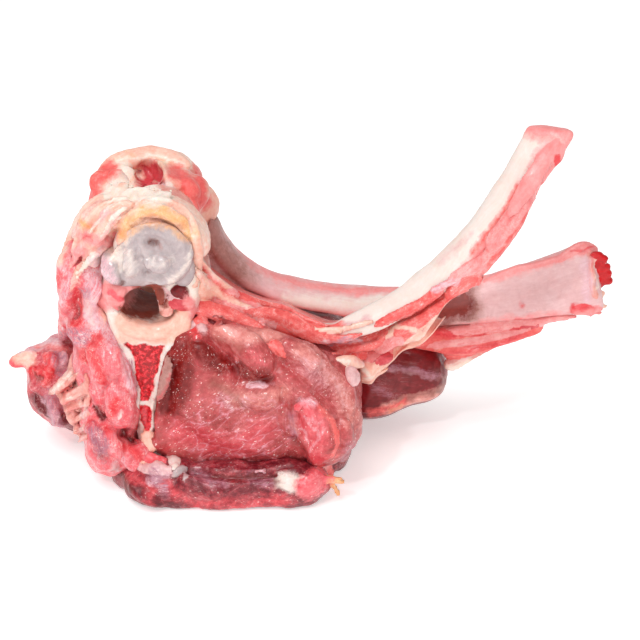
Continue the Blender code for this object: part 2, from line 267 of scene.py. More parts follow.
# %% Lines and areas
FAR_OFF = 1e9
TINY = 1e-9


def off_line(points, line):
    """Distance of each point from a line of joined stretches, and how far along it lies."""
    line = np.array(line, float)
    best = np.full(len(points), FAR_OFF)
    along = np.zeros(len(points))
    if len(line) == 1:
        return np.linalg.norm(points - line[0], axis=1), along
    for index, (start, end) in enumerate(zip(line, line[1:])):
        run = end - start
        share = np.clip((points - start) @ run / max(run @ run, TINY), 0, 1)
        gap = np.linalg.norm(points - start - share[:, None] * run, axis=1)
        closer = gap < best
        best = np.where(closer, gap, best)
        along = np.where(closer, index + share, along)
    return best, along


def everywhere(pixels):
    return np.ones(len(pixels))


def line(places, radius, soft=5.0):
    """A mark along joined pixels, radius pixels to each side."""
    def field(pixels):
        gap, _ = off_line(pixels, places)
        return np.clip(0.5 + (radius - gap) / (2 * soft), 0, 1)
    return field


def area(outline, soft=5.0):
    """A mark that fills an outline of pixels."""
    closed = [*outline, outline[0]]

    def field(pixels):
        gap, _ = off_line(pixels, closed)
        inside = np.zeros(len(pixels), bool)
        for (x0, y0), (x1, y1) in zip(closed, closed[1:]):
            spans = (y0 > pixels[:, 1]) != (y1 > pixels[:, 1])
            cross = x0 + (pixels[:, 1] - y0) * (x1 - x0) / (y1 - y0 if y1 != y0 else TINY)
            inside ^= spans & (pixels[:, 0] < cross)
        return np.clip(0.5 + np.where(inside, gap, -gap) / (2 * soft), 0, 1)
    return field


print("a line 2 pixels to each side, 0 and 8 off:", line([(0, 0)], 2)(np.array([[0, 0], [8, 0.0]])))

# %% [markdown]
# Whatever lies on the meat has to touch it. It could be moved there by eye, or by a Shrinkwrap
# modifier. A ray from the camera through the pixel where it is seen finds the spot at once, on
# the solid that carries it, so it sits there from every other side as well.

# %% Where a pixel meets the solids
surfaces = {}


def surface_of(node):
    if node not in surfaces:
        mesh = NODES[node].data
        corners = [vert.co.copy() for vert in mesh.vertices]
        surfaces[node] = BVHTree.FromPolygons(corners, [tuple(f.vertices) for f in mesh.polygons])
    return surfaces[node]


def first_hit(node, across, down):
    """Where the ray through a pixel meets that solid, or else the nearest of them all."""
    start = camera.location
    way = (Vector(to_row(at(across, down, 0.0))) - start).normalized()
    if node:
        spot, normal, _, _ = surface_of(node).ray_cast(start, way)
        if spot:
            return spot, normal
    hits = [surface_of(other).ray_cast(start, way) for other in NODES]
    hits = [hit for hit in hits if hit[0]]
    if not hits:
        return None, None
    spot, normal, _, _ = min(hits, key=lambda hit: hit[3])
    return spot, normal


print("the eye at pixel (240, 420):", to_ruler(first_hit("loin_eye", 240, 420)[0]).round(1))

# %% [markdown]
# Loose tissue is built from strands: tapered, flattened tubes that follow a few points.
# A bevelled curve would be as quick, but round. These are wide and flat against the flesh, like
# real shreds, and a smooth route runs through their stops.

# %% Strands
RING = 10
STEPS = 4
END_SHARE = 0.12
END_WIDTH = 0.4
PIXELS_PER_MM = FOCAL / DISTANCE


def smooth_route(rows):
    """More points on a smooth curve through the rows (Catmull-Rom)."""
    rows = np.array([rows[0], *rows, rows[-1]], float)
    route = []
    for a, b, c, d in zip(rows, rows[1:], rows[2:], rows[3:]):
        for t in np.arange(STEPS) / STEPS:
            route.append(
                a * (-0.5 * t + t * t - 0.5 * t**3) + b * (1 - 2.5 * t * t + 1.5 * t**3)
                + c * (0.5 * t + 2 * t * t - 1.5 * t**3) + d * (-0.5 * t * t + 0.5 * t**3)
            )
    route.append(rows[-1])
    return np.array(route)


def laid(node, tissue, stops, lift=0.0, flat=0.5, on=""):
    """A strand on the solid; a stop is pixel right, pixel down and width in pixels.

    A fourth number gives its depth in mm where it hangs free. lift is how far its middle stands
    off the surface in mm, flat its thickness over its width, and on names the solid it lies on:
    its own one as a rule, or whichever is in front where on is None. An empty tissue is the
    skin's own one.
    """
    node = node if on == "" else on
    depths, normals = [], []
    for across, down, _, *given in stops:
        spot, normal = first_hit(node, across, down)
        depths.append(given[0] if given else to_ruler(spot)[1] if spot else None)
        normals += [normal] if normal else []
    hits = [k for k, depth in enumerate(depths) if depth is not None]
    if not hits:
        raise ValueError(f"a strand of {node} misses it: {stops}")
    depths = np.interp(range(len(stops)), hits, [depths[k] for k in hits])
    faces = sum(normals, Vector((0, 0, 0))).normalized() + Vector(BACK)
    rows = []
    for (across, down, width, *_), depth in zip(stops, depths):
        away = DISTANCE + depth * math.cos(TILT)
        place = at(across, down, depth) + BACK * lift
        rows.append([*place, width * away / FOCAL])
    route = smooth_route(rows)
    reach = np.linspace(0, 1, len(route))
    end = np.clip(np.minimum(reach, 1 - reach) / END_SHARE, 0, 1)
    route[:, 3] *= END_WIDTH + (1 - END_WIDTH) * np.sqrt(end)
    return {"tissue": tissue, "route": route, "flat": flat, "faces": faces}


def add_strand(bm, piece):
    """Writes a strand into a mesh as a closed tube of rings."""
    route = piece["route"]
    rings = []
    for index, (x, y, z, width) in enumerate(route):
        run = route[min(index + 1, len(route) - 1), :3] - route[max(index - 1, 0), :3]
        along = Vector(run).normalized()
        through = piece["faces"].normalized()
        through = (through - along * through.dot(along)).normalized()
        across = along.cross(through)
        ring = []
        for side in range(RING):
            turn = 2 * math.pi * side / RING
            edge = across * (math.cos(turn) * width / 2)
            edge += through * (math.sin(turn) * width / 2 * piece["flat"])
            ring.append(bm.verts.new(Vector(to_row((x, y, z))) + edge * MM))
        rings.append(ring)
    for ring, after in zip(rings, rings[1:]):
        for side in range(RING):
            other = (side + 1) % RING
            bm.faces.new((ring[side], ring[other], after[other], after[side]))
    bm.faces.new(list(reversed(rings[0])))
    bm.faces.new(rings[-1])


print("pixels to a millimetre at the near cut:", PIXELS_PER_MM)

# %% [markdown]
# A skin starts as its solid, welded and relaxed so that no flat facet is left. The strands are
# pushed into it, and a fine voxel remesh turns all of it into one closed surface. Tubes left
# separate would show a hard seam all round, and so many Boolean unions would often fail.

# %% One closed surface
WELD = 1e-5
CAD_VOXEL = 0.9
RELAX_SHARE = 0.5


def modified(name, mesh, voxel, relax):
    """The mesh remeshed into one skin and relaxed."""
    obj = bpy.data.objects.new(name, mesh)
    bpy.context.scene.collection.objects.link(obj)
    remesh = obj.modifiers.new("one_skin", "REMESH")
    remesh.mode = "VOXEL"
    remesh.voxel_size = voxel * MM
    smooth = obj.modifiers.new("relax", "SMOOTH")
    smooth.factor = RELAX_SHARE
    smooth.iterations = relax
    bpy.context.view_layer.update()
    graph = bpy.context.evaluated_depsgraph_get()
    made = bpy.data.meshes.new_from_object(obj.evaluated_get(graph))
    bpy.data.objects.remove(obj)
    bpy.data.meshes.remove(mesh)
    return made


def mesh_from(name, bm):
    bmesh.ops.recalc_face_normals(bm, faces=bm.faces)
    mesh = bpy.data.meshes.new(name)
    bm.to_mesh(mesh)
    bm.free()
    return mesh


def fuse(name, node, strands, voxel, relax, settle):
    """One closed fine mesh over the solid and its strands."""
    bm = bmesh.new()
    bm.from_mesh(NODES[node].data)
    bmesh.ops.remove_doubles(bm, verts=bm.verts, dist=WELD)
    body = modified(name, mesh_from(name, bm), CAD_VOXEL, relax)
    bm = bmesh.new()
    bm.from_mesh(body)
    bpy.data.meshes.remove(body)
    for piece in strands:
        add_strand(bm, piece)
    obj = bpy.data.objects.new(name, modified(name, mesh_from(name, bm), voxel, settle))
    bpy.context.scene.collection.objects.link(obj)
    return obj


print("faces of the bare solids:", sum(len(solid.data.polygons) for solid in NODES.values()))

# %% [markdown]
# Muscle has a grain. Each point of a skin gets a place that is unrolled along its fibres: along
# a straight way, along a rib, or along the strand that it lies in. Noise at that place is drawn
# out as fibres are, and bends where they bend. A UV map could carry the grain as well, but a
# remesh removes it.

# %% The grain
THINNEST = 0.3
STRAND_REACH = 1.35
STRAND_EDGE = 1.6
APART = 31


def combed_along(points, route, stretch):
    """Points unrolled along a route, so that noise on them is drawn out along it."""
    gap, along = off_line(points, route)
    stops = np.arange(len(route))
    middle = np.stack([np.interp(along, stops, route[:, k]) for k in range(3)], 1)
    steps = np.linalg.norm(np.diff(route, axis=0), axis=1)
    run = np.interp(along, stops, np.concatenate([[0], np.cumsum(steps)]))
    unrolled = points - middle
    unrolled[:, 0] += run / stretch
    return unrolled, gap, along


def strand_tissues(points, strands, amounts, combed, stretch):
    """Gives each point the tissue and the grain of the strand that it lies in."""
    closest = np.full(len(points), FURTHEST)
    owner = np.full(len(points), -1)
    ways = combed.copy()
    for index, piece in enumerate(strands):
        route = piece["route"]
        own, gap, along = combed_along(points, route[:, :3], stretch)
        width = np.interp(along, np.arange(len(route)), route[:, 3])
        share = gap / np.maximum(width / 2, THINNEST)
        closer = share < closest
        closest = np.where(closer, share, closest)
        owner = np.where(closer, index, owner)
        own[:, 0] += APART * index
        ways = np.where(closer[:, None], own, ways)
    amount = np.clip(0.5 + (STRAND_REACH - closest) * STRAND_EDGE, 0, 1)
    for index, piece in enumerate(strands):
        tissue = piece["tissue"]
        if tissue:
            mine = np.where(owner == index, amount, 0)
            for other in amounts:
                if other != tissue:
                    amounts[other] = amounts[other] * (1 - mine)
            amounts[tissue] = np.maximum(amounts.get(tissue, 0), mine)
    return np.where((amount > 0.5)[:, None], ways, combed)


straight = np.array([[0, 0, 0], [20, 0, 0.0]])
unrolled, _, _ = combed_along(np.array([[8, 0, 3.0]]), straight, 4)
print("8 mm along a fibre and 3 mm off it, drawn out 4 times:", unrolled.round(2))

# %% [markdown]
# Some edges run exactly as seen, such as the top of the flesh along a rib. The points beyond
# such a border are moved nearly onto it: the surface stays whole, where a cut would leave it
# open. Tissues lie over one another in the order in which they are given, as on the real piece,
# and only thin membranes let the one below show through.

# %% Borders and layers
TRIMMED = 0.88
THIN = ("film", "veil")
SEAMS = "seams"
COVERS = 3


def trimmed(points, border, way):
    """Moves what shows beyond a border of pixels down (way 1) or up (way -1), nearly onto it."""
    pixels = seen(points)
    border = smooth_route(border)
    limit = np.interp(pixels[:, 0], border[:, 0], border[:, 1], left=np.nan, right=np.nan)
    beyond = np.nan_to_num(np.maximum((limit - pixels[:, 1]) * way, 0))
    points[:, 2] -= TRIMMED * way * beyond / (PIXELS_PER_MM * math.cos(TILT))


def cover(amounts, tissue, mine):
    """Lays a tissue over the others, unless it is so thin that they show through."""
    if tissue not in THIN and tissue != SEAMS:
        for other in amounts:
            if other not in (tissue, SEAMS):
                amounts[other] = amounts[other] * (1 - np.clip(mine * COVERS - COVERS / 2, 0, 1))
    amounts[tissue] = np.maximum(amounts.get(tissue, 0), mine)


layers = {"fat": np.array([1.0, 1.0])}
cover(layers, "red", np.array([0.6, 0.9]))
print("fat that is left under red at 0.6 and 0.9:", layers["fat"].round(2))

# %% [markdown]
# One function does the whole dressing. It fuses solid and strands, moves every point along its
# normal by the swells, fibres and creases of that tissue, and keeps the amount of each tissue at
# each point for the material. This is how a sculptor works: one mass first, the detail after.
# Displacement in the material could look the same, but the shape wouldn't be in the mesh.

# %% From solid to skin
ON_BOARD = 0.04
TORN = 4.0
TORN_SIZE = 4.5
WANDER_SIZE = 14.0
FAR_CUT = 48.0


def numbers(mesh, what):
    found = np.zeros(len(mesh.vertices) * 3, np.float32)
    mesh.vertices.foreach_get(what, found)
    return found.reshape(-1, 3).astype(float)


def keep(mesh, name, kind, key, values):
    """Stores a number or a vector at each point, where the material can read it."""
    layer = mesh.attributes.new(name, kind, "POINT")
    layer.data.foreach_set(key, values.astype(np.float32).ravel())


def skin(name, node, finish, voxel=0.75, relax=14, settle=3, grow=0.35, strands=(),
         relief=None, dents=(), marks=(), grain=(1, 0, 0.8), stretch=4.0, bend=1.5, follow=None,
         trims=(), pressed=None, behind=()):
    """Fuses, carves and paints one skin.

    relief gives the height in mm at each point, dents are (height in mm, mark) and marks are
    (tissue, mark, strength); dents and marks are felt only on the side that is seen. Fibres run
    along grain, or along the places that follow lists, drawn out by stretch and bent by bend mm.
    pressed is (depth in mm, mark) for what is pushed back to that depth, and trims are borders
    with their ways. behind are marks on the far cut, placed by x and z in mm.
    """
    pieces = [laid(node, *one) for one in strands]
    obj = fuse(name, node, pieces, voxel, relax, settle)
    mesh = obj.data
    points = to_ruler(numbers(mesh, "co"))
    normals = numbers(mesh, "normal")
    pixels = seen(points)
    facing = np.clip(normals @ BACK * 3 + 0.6, 0, 1)
    wander = np.stack([rough(points, WANDER_SIZE, 200 + k, 2) for k in range(3)], 1)
    if follow:
        route = smooth_route([at(*place) for place in follow])
        combed, _, _ = combed_along(points + bend * wander, route, stretch)
    else:
        combed = drawn_out(points + bend * wander, grain, stretch)
    amounts = {}
    combed = strand_tissues(points, pieces, amounts, combed, stretch)
    height = np.full(len(points), grow)
    if relief:
        height += relief(points, combed)
    for rise, mark in dents:
        height += rise * mark(pixels) * facing
    points = points + normals * height[:, None]
    for border, way in trims:
        trimmed(points, border, way)
    if pressed:
        depth, mark = pressed
        points[:, 1] += mark(pixels) * np.maximum(depth - points[:, 1], 0)
    points[:, 2] = np.maximum(points[:, 2], ON_BOARD)
    torn = np.stack([rough(points, TORN_SIZE, 7), rough(points, TORN_SIZE, 17)], 1) * TORN
    for tissue, mark, strength in marks:
        cover(amounts, tissue, mark(pixels + torn) * facing * strength)
    turned = np.clip(normals[:, 1] * 3 - 1.2, 0, 1) * (points[:, 1] > FAR_CUT)
    for tissue, mark, strength in behind:
        cover(amounts, tissue, mark(points[:, [0, 2]] + torn / PIXELS_PER_MM) * turned * strength)
    mesh.vertices.foreach_set("co", to_row(points).astype(np.float32).ravel())
    for tissue, amount in amounts.items():
        keep(mesh, tissue, "FLOAT", "value", amount)
    keep(mesh, "combed", "FLOAT_VECTOR", "vector", combed)
    mesh.shade_smooth()
    mesh.update()
    mesh.materials.clear()
    order = sorted(amounts, key=lambda tissue: (tissue in THIN, tissue))
    mesh.materials.append(finish(name, order))
    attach(obj, "root")
    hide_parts(node)
    print(f"{name}: {len(mesh.polygons)} faces, {', '.join(sorted(amounts)) or 'one tissue'}")


print("no skin goes lower than, mm:", ON_BOARD)

# %% [markdown]
# Materials are sums of noise and masks, so they read best as sums. They could be wired by hand
# in the Shader Editor, but a long net of wires is hard to read and to change.
# The small class below stands for one output of a node; adding or multiplying two of them adds
# a Math node. Colours go through Mix nodes, because a Math node would turn them grey.

# %% Sums in a material
class Wire:
    """One output in a material's node tree."""

    def __init__(self, finish, socket):
        self.finish = finish
        self.socket = socket

    def maths(self, operation, *values):
        sockets = dict(enumerate(values))
        return self.finish.node("ShaderNodeMath", {"operation": operation}, sockets)

    def __add__(self, other):
        return self.maths("ADD", self, other)

    __radd__ = __add__

    def __sub__(self, other):
        return self.maths("SUBTRACT", self, other)

    def __rsub__(self, other):
        return self.maths("SUBTRACT", other, self)

    def __mul__(self, other):
        return self.maths("MULTIPLY", self, other)

    __rmul__ = __mul__

    def held(self, low=0.0, high=1.0):
        return self.maths("MINIMUM", self.maths("MAXIMUM", self, low), high)

    def magnitude(self):
        return self.maths("ABSOLUTE", self)


class Finish:
    """A Principled material that is built up node by node."""

    def __init__(self, name, fixed):
        self.material = bpy.data.materials.new(name)
        self.material.use_nodes = True
        self.tree = self.material.node_tree
        self.shader = self.tree.nodes["Principled BSDF"]
        for socket, value in fixed.items():
            self.shader.inputs[socket].default_value = value

    def node(self, kind, settings=None, sockets=None, output=0):
        made = self.tree.nodes.new(kind)
        for key, value in (settings or {}).items():
            setattr(made, key, value)
        for key, value in (sockets or {}).items():
            self.put(value, made.inputs[key])
        return Wire(self, made.outputs[output])

    def put(self, value, socket):
        if isinstance(value, Wire):
            self.tree.links.new(value.socket, socket)
        else:
            socket.default_value = value

    def feed(self, socket, value):
        """Sends a value that varies over the surface to one of the shader's own sockets."""
        self.put(value, self.shader.inputs[socket])

    def mix(self, share, first, second):
        """first where share is 0 and second where it is 1."""
        sockets = {0: share, 6: first, 7: second}
        return self.node("ShaderNodeMix", {"data_type": "RGBA"}, sockets, 2)

    def noise(self, place, per_mm, detail=3.0, roughness=0.6, twist=0.0):
        sockets = {"Vector": place, "Scale": per_mm, "Detail": detail, "Roughness": roughness,
                   "Distortion": twist}
        return self.node("ShaderNodeTexNoise", {}, sockets)

    def moved(self, vector, share, base):
        """A vector times share in all three ways, plus another vector."""
        sockets = {0: vector, 1: (share, share, share), 2: base}
        return self.node("ShaderNodeVectorMath", {"operation": "MULTIPLY_ADD"}, sockets)

    def object_place(self):
        """The place on the object in metres; a piece sits at the origin, so it never slides."""
        return self.node("ShaderNodeTexCoord", {}, {}, 3)

    def amount(self, tissue):
        return self.node("ShaderNodeAttribute", {"attribute_name": tissue}, {}, 2)

    def combed(self):
        return self.node("ShaderNodeAttribute", {"attribute_name": "combed"}, {}, 1)


def colour(red, green, blue):
    """A screen colour from 0 to 255 as Blender's linear colour."""
    linear = [((c / 255 + 0.055) / 1.055) ** 2.4 if c > 10 else c / 3294.6
              for c in (red, green, blue)]
    return (*linear, 1.0)


print("middle grey on the screen, linear:", round(colour(128, 128, 128)[0], 3))

# %% [markdown]
# Every tissue has a dark, a middle and a light tone. A picture of meat could colour the skin,
# but its light and shadow would be baked in. Three tones mixed by noise never repeat, and can be
# tuned one tissue at a time. Five of the tissues, dark browns and reds, are painted shade, laid
# where the piece lies in shadow.

# %% Tissues
TISSUES = {
    # name: dark tone, middle tone, light tone
    "eye": ((136, 42, 40), (186, 76, 76), (220, 120, 112)),
    "deep": ((96, 2, 2), (138, 14, 10), (170, 42, 38)),
    "pale": ((208, 112, 106), (228, 144, 136), (244, 178, 166)),
    "lean": ((178, 52, 62), (214, 88, 96), (240, 142, 144)),
    "pink": ((222, 70, 80), (242, 108, 116), (252, 160, 166)),
    "lobe": ((190, 52, 60), (220, 80, 88), (240, 128, 130)),
    "salmon": ((224, 76, 74), (244, 112, 106), (252, 168, 160)),
    "mauve": ((88, 12, 24), (128, 24, 38), (176, 62, 78)),
    "dark": ((98, 10, 14), (140, 22, 28), (174, 52, 56)),
    "fat": ((240, 170, 148), (250, 202, 184), (254, 228, 214)),
    "bone": ((232, 208, 196), (238, 226, 219), (246, 238, 233)),
    "rosy": ((212, 158, 158), (234, 192, 192), (242, 212, 212)),
    "film": ((214, 158, 168), (234, 192, 200), (250, 226, 230)),
    "soft": ((232, 120, 120), (244, 158, 156), (250, 194, 190)),
    "brown": ((150, 96, 88), (186, 134, 126), (210, 166, 160)),
    "red": ((206, 40, 48), (234, 72, 78), (248, 116, 116)),
    "clot": ((84, 4, 10), (134, 8, 18), (196, 20, 30)),
    "gold": ((230, 152, 98), (246, 188, 134), (252, 214, 172)),
    "grey": ((164, 148, 150), (194, 178, 178), (222, 206, 202)),
    "marrow": ((160, 2, 14), (226, 26, 40), (250, 88, 96)),
    "plug": ((150, 0, 8), (212, 6, 18), (246, 40, 50)),
    "shade": ((84, 36, 28), (114, 60, 50), (146, 92, 82)),
    "hollow": ((118, 44, 32), (150, 64, 48), (182, 98, 78)),
    "umber": ((104, 26, 18), (134, 42, 32), (172, 84, 70)),
    "tan": ((150, 84, 74), (180, 118, 106), (208, 158, 142)),
    "cream": ((244, 216, 198), (250, 234, 222), (254, 246, 238)),
    "blush": ((214, 126, 116), (238, 172, 160), (250, 212, 202)),
    "veil": ((154, 92, 110), (186, 126, 142), (216, 166, 180)),
}
STREAK = colour(246, 196, 198)
WEB = colour(252, 214, 206)
SEAM_SIDE = colour(214, 112, 120)
SEAM_MIDDLE = colour(236, 180, 196)
# The colour of the painted glints.
PAINTED_GLINT = colour(255, 234, 230)


def tones(finish, tissue, mottle):
    """The three tones of a tissue, chosen by the noise called mottle."""
    dark, middle, light = (colour(*tone) for tone in TISSUES[tissue])
    lower = finish.mix(((mottle - 0.40) * 7).held(), dark, middle)
    return finish.mix(((mottle - 0.53) * 6).held(), lower, light)


print("tissues:", len(TISSUES))

# %% [markdown]
# The base tissue of a skin is mottled between its tones, and the others lie over it where their
# amount passes one half, with an edge that fine noise frays. Low roughness alone would look like
# plastic, so the wet look comes from a thin clear coat that is broken up by noise, and a little
# light goes into the flesh and comes out red.

# %% The flesh finish
EDGE = 2.2
MARROW_EDGE = 4
BUMP_DEPTH = 0.5
# Tissues of painted shade. The clear coat is mostly taken off them, so that no pale sheen lies over
# the painted shade.
PAINTED_SHADES = ("deep", "hollow", "umber", "brown", "shade")
DULLED = 0.85
WET = {
    "Specular IOR Level": 0.35,
    "Subsurface Radius": (1.0, 0.35, 0.25),
    "Subsurface Scale": 0.0014,
    "Subsurface Weight": 0.14,
    "Coat Roughness": 0.1,
}


def flesh(base, bump=0.5, streaks=0.0, wet=0.4, veins=0.0, painted_glints=0.0, varied=1.0, fray=0.9,
          hairy=1.0, bundles=0.0, rough_at=0.34):
    """A function that makes the material of a skin whose main tissue is base.

    streaks are thin pale lines along the fibres, veins a net of them across, and specks are painted
    glints: fine pale dots of painted highlight.
    varied is how far the tones spread, fray how ragged the edge between two tissues is, hairy
    how much the single fibres show, bundles how much the seams between bundles of them do, and
    rough_at the middle of the roughness.
    """
    def make(name, tissues):
        finish = Finish(name, WET)
        place = finish.node("ShaderNodeVectorMath", {"operation": "SCALE"},
                            {0: finish.object_place(), "Scale": 1 / MM})
        combed = finish.combed()
        fibre = finish.noise(combed, 0.9, detail=4.0, roughness=0.62, twist=0.3)
        hair = finish.noise(combed, 2.6)
        blotch = finish.noise(place, 0.11, detail=4.0, roughness=0.65, twist=0.4)
        patch = finish.noise(place, 0.34, detail=4.0, twist=0.8)
        grit = finish.noise(place, 1.1, detail=5.0, roughness=0.7)
        loose = finish.noise(place, 0.5, detail=5.0, roughness=0.75)
        threads = (fibre * 0.2 + hair * 0.12 - 0.16) * hairy + 0.16
        mottle = threads + blotch * 0.3 + patch * 0.26 + grit * 0.12
        tint = tones(finish, base, (mottle - 0.5) * varied + 0.5)
        inner = (grit * 0.25 + blotch * 0.2 + patch * 0.3 + fibre * 0.25 - 0.5) * varied + 0.5
        for tissue in tissues:
            if tissue == "marrow":
                edge = finish.amount(tissue) + (grit - 0.5) * 0.5
                mask = ((edge - 0.5) * MARROW_EDGE + 0.5).held()
                sponge = finish.noise(place, 0.8, detail=4.0, roughness=0.65)
                tint = finish.mix(mask, tint, tones(finish, tissue, sponge * 1.3 - 0.17))
            elif tissue != SEAMS:
                edge = finish.amount(tissue) + (loose * 1.3 + fibre * 0.7 - 1) * fray
                mask = ((edge - 0.5) * EDGE + 0.5).held()
                if tissue in THIN:
                    mask = mask * (hair * 3.0 - 0.8).held()
                tint = finish.mix(mask, tint, tones(finish, tissue, inner))
        fine = threads * 1.6 + grit * 0.4
        if streaks:
            thread = finish.noise(combed, 0.4, twist=0.8)
            thin = (1 - (thread - 0.5).magnitude() * 30).held()
            tint = finish.mix(thin * (blotch * 5 - 2.2).held() * streaks, tint, STREAK)
        if veins:
            web = finish.noise(place, 0.55, twist=1.5)
            thin = (1 - (web - 0.5).magnitude() * 18).held()
            tint = finish.mix(thin * (patch * 5 - 2.2).held() * veins, tint, WEB)
        if bundles:
            sockets = {"Vector": combed, "Scale": 0.5, "Detail": 2.0}
            stir = finish.node("ShaderNodeTexNoise", {}, sockets, 1)
            seam = finish.node("ShaderNodeTexVoronoi", {"feature": "DISTANCE_TO_EDGE"},
                               {"Vector": finish.moved(stir, 1.8, combed), "Scale": 0.34})
            shown = (finish.amount(SEAMS) * 2 - 0.6).held() * (loose * 6 - 2.5).held() * bundles
            tint = finish.mix((1 - seam * 5).held() * shown * 0.5, tint, SEAM_SIDE)
            tint = finish.mix((1 - seam * 16).held() * shown * 0.7, tint, SEAM_MIDDLE)
            fine = fine + (seam * 4).held() * shown
        # Painted highlight: fine pale dots that stand in for wet glints.
        if painted_glints:
            glint_dots = finish.noise(finish.moved(place, 0.4, combed), 1.9, detail=0.0, roughness=0.5)
            glint_dots = ((glint_dots - 0.71) * 16).held() * (patch * 7 - 3.3).held() * painted_glints
            tint = finish.mix(glint_dots, tint, PAINTED_GLINT)
        coat = (blotch * 2.4 + grit * 1.6 - 1.7).held() * wet
        # Less coat where shade is painted.
        for tissue in tissues:
            if tissue in PAINTED_SHADES:
                coat = coat * (1 - finish.amount(tissue) * DULLED)
        finish.feed("Base Color", tint)
        finish.feed("Roughness", grit * 0.3 + (rough_at - 0.15))
        finish.feed("Coat Weight", coat)
        sockets = {"Strength": bump, "Distance": BUMP_DEPTH * MM, "Height": fine}
        finish.feed("Normal", finish.node("ShaderNodeBump", {}, sockets))
        return finish.material
    return make


print("an edge between tissues fades over an amount of", round(1 / EDGE, 2))

# %% [markdown]
# The floor is nearly white and glows a little, so that it meets the pale surroundings without a
# line, and still takes the soft shadow of the piece. A plain white floor under these lamps
# would come out grey.

# %% The pale floor
board = Finish("pale_floor", {"Roughness": 0.8, "Emission Strength": 0.42,
                              "Emission Color": (1.0, 1.0, 1.0, 1.0)})
speck = board.noise(board.object_place(), 30.0)
board.feed("Base Color", board.mix(speck, (0.93, 0.93, 0.93, 1), (0.96, 0.96, 0.96, 1)))
plane.materials.append(board.material)
print("floor finish:", len(board.tree.nodes), "nodes")

# %% [markdown]
# The near bone of the back was sawn through, so it shows a flat cut: the ring round the spinal
# canal, and the long spine below it, white hard bone outside and red spongy marrow inside.
# The sponge could be colour alone. It is carved as well, because a saw leaves it pitted, and the
# pits catch the light. A wall of bone splits the marrow in two fields.

# %% The near bone of the back
SPINE_TOP = 50
CUT_DEPTH = 3
MARROW = [(124, 342), (140, 343), (155, 345), (166, 345), (162, 357), (159, 368), (155, 381),
          (152, 394), (149, 403), (141, 402), (138, 384), (136, 370), (131, 356)]
MARROW_BELOW = [(140, 406), (150, 407), (152, 420), (149, 431), (142, 430)]
KNOB_TOP = [(209, 268), (216, 277), (240, 293)]


def sawn_bone(points, combed):
    """Low swells, and pits where the saw opened the sponge."""
    below = np.clip((SPINE_TOP - points[:, 2]) / 4, 0, 1)
    on_cut = np.clip((CUT_DEPTH - points[:, 1]) / 2, 0, 1)
    return 0.25 * rough(points, 6.0, 3) - 0.5 * (below * on_cut) * ridged(points, 1.6, 5)


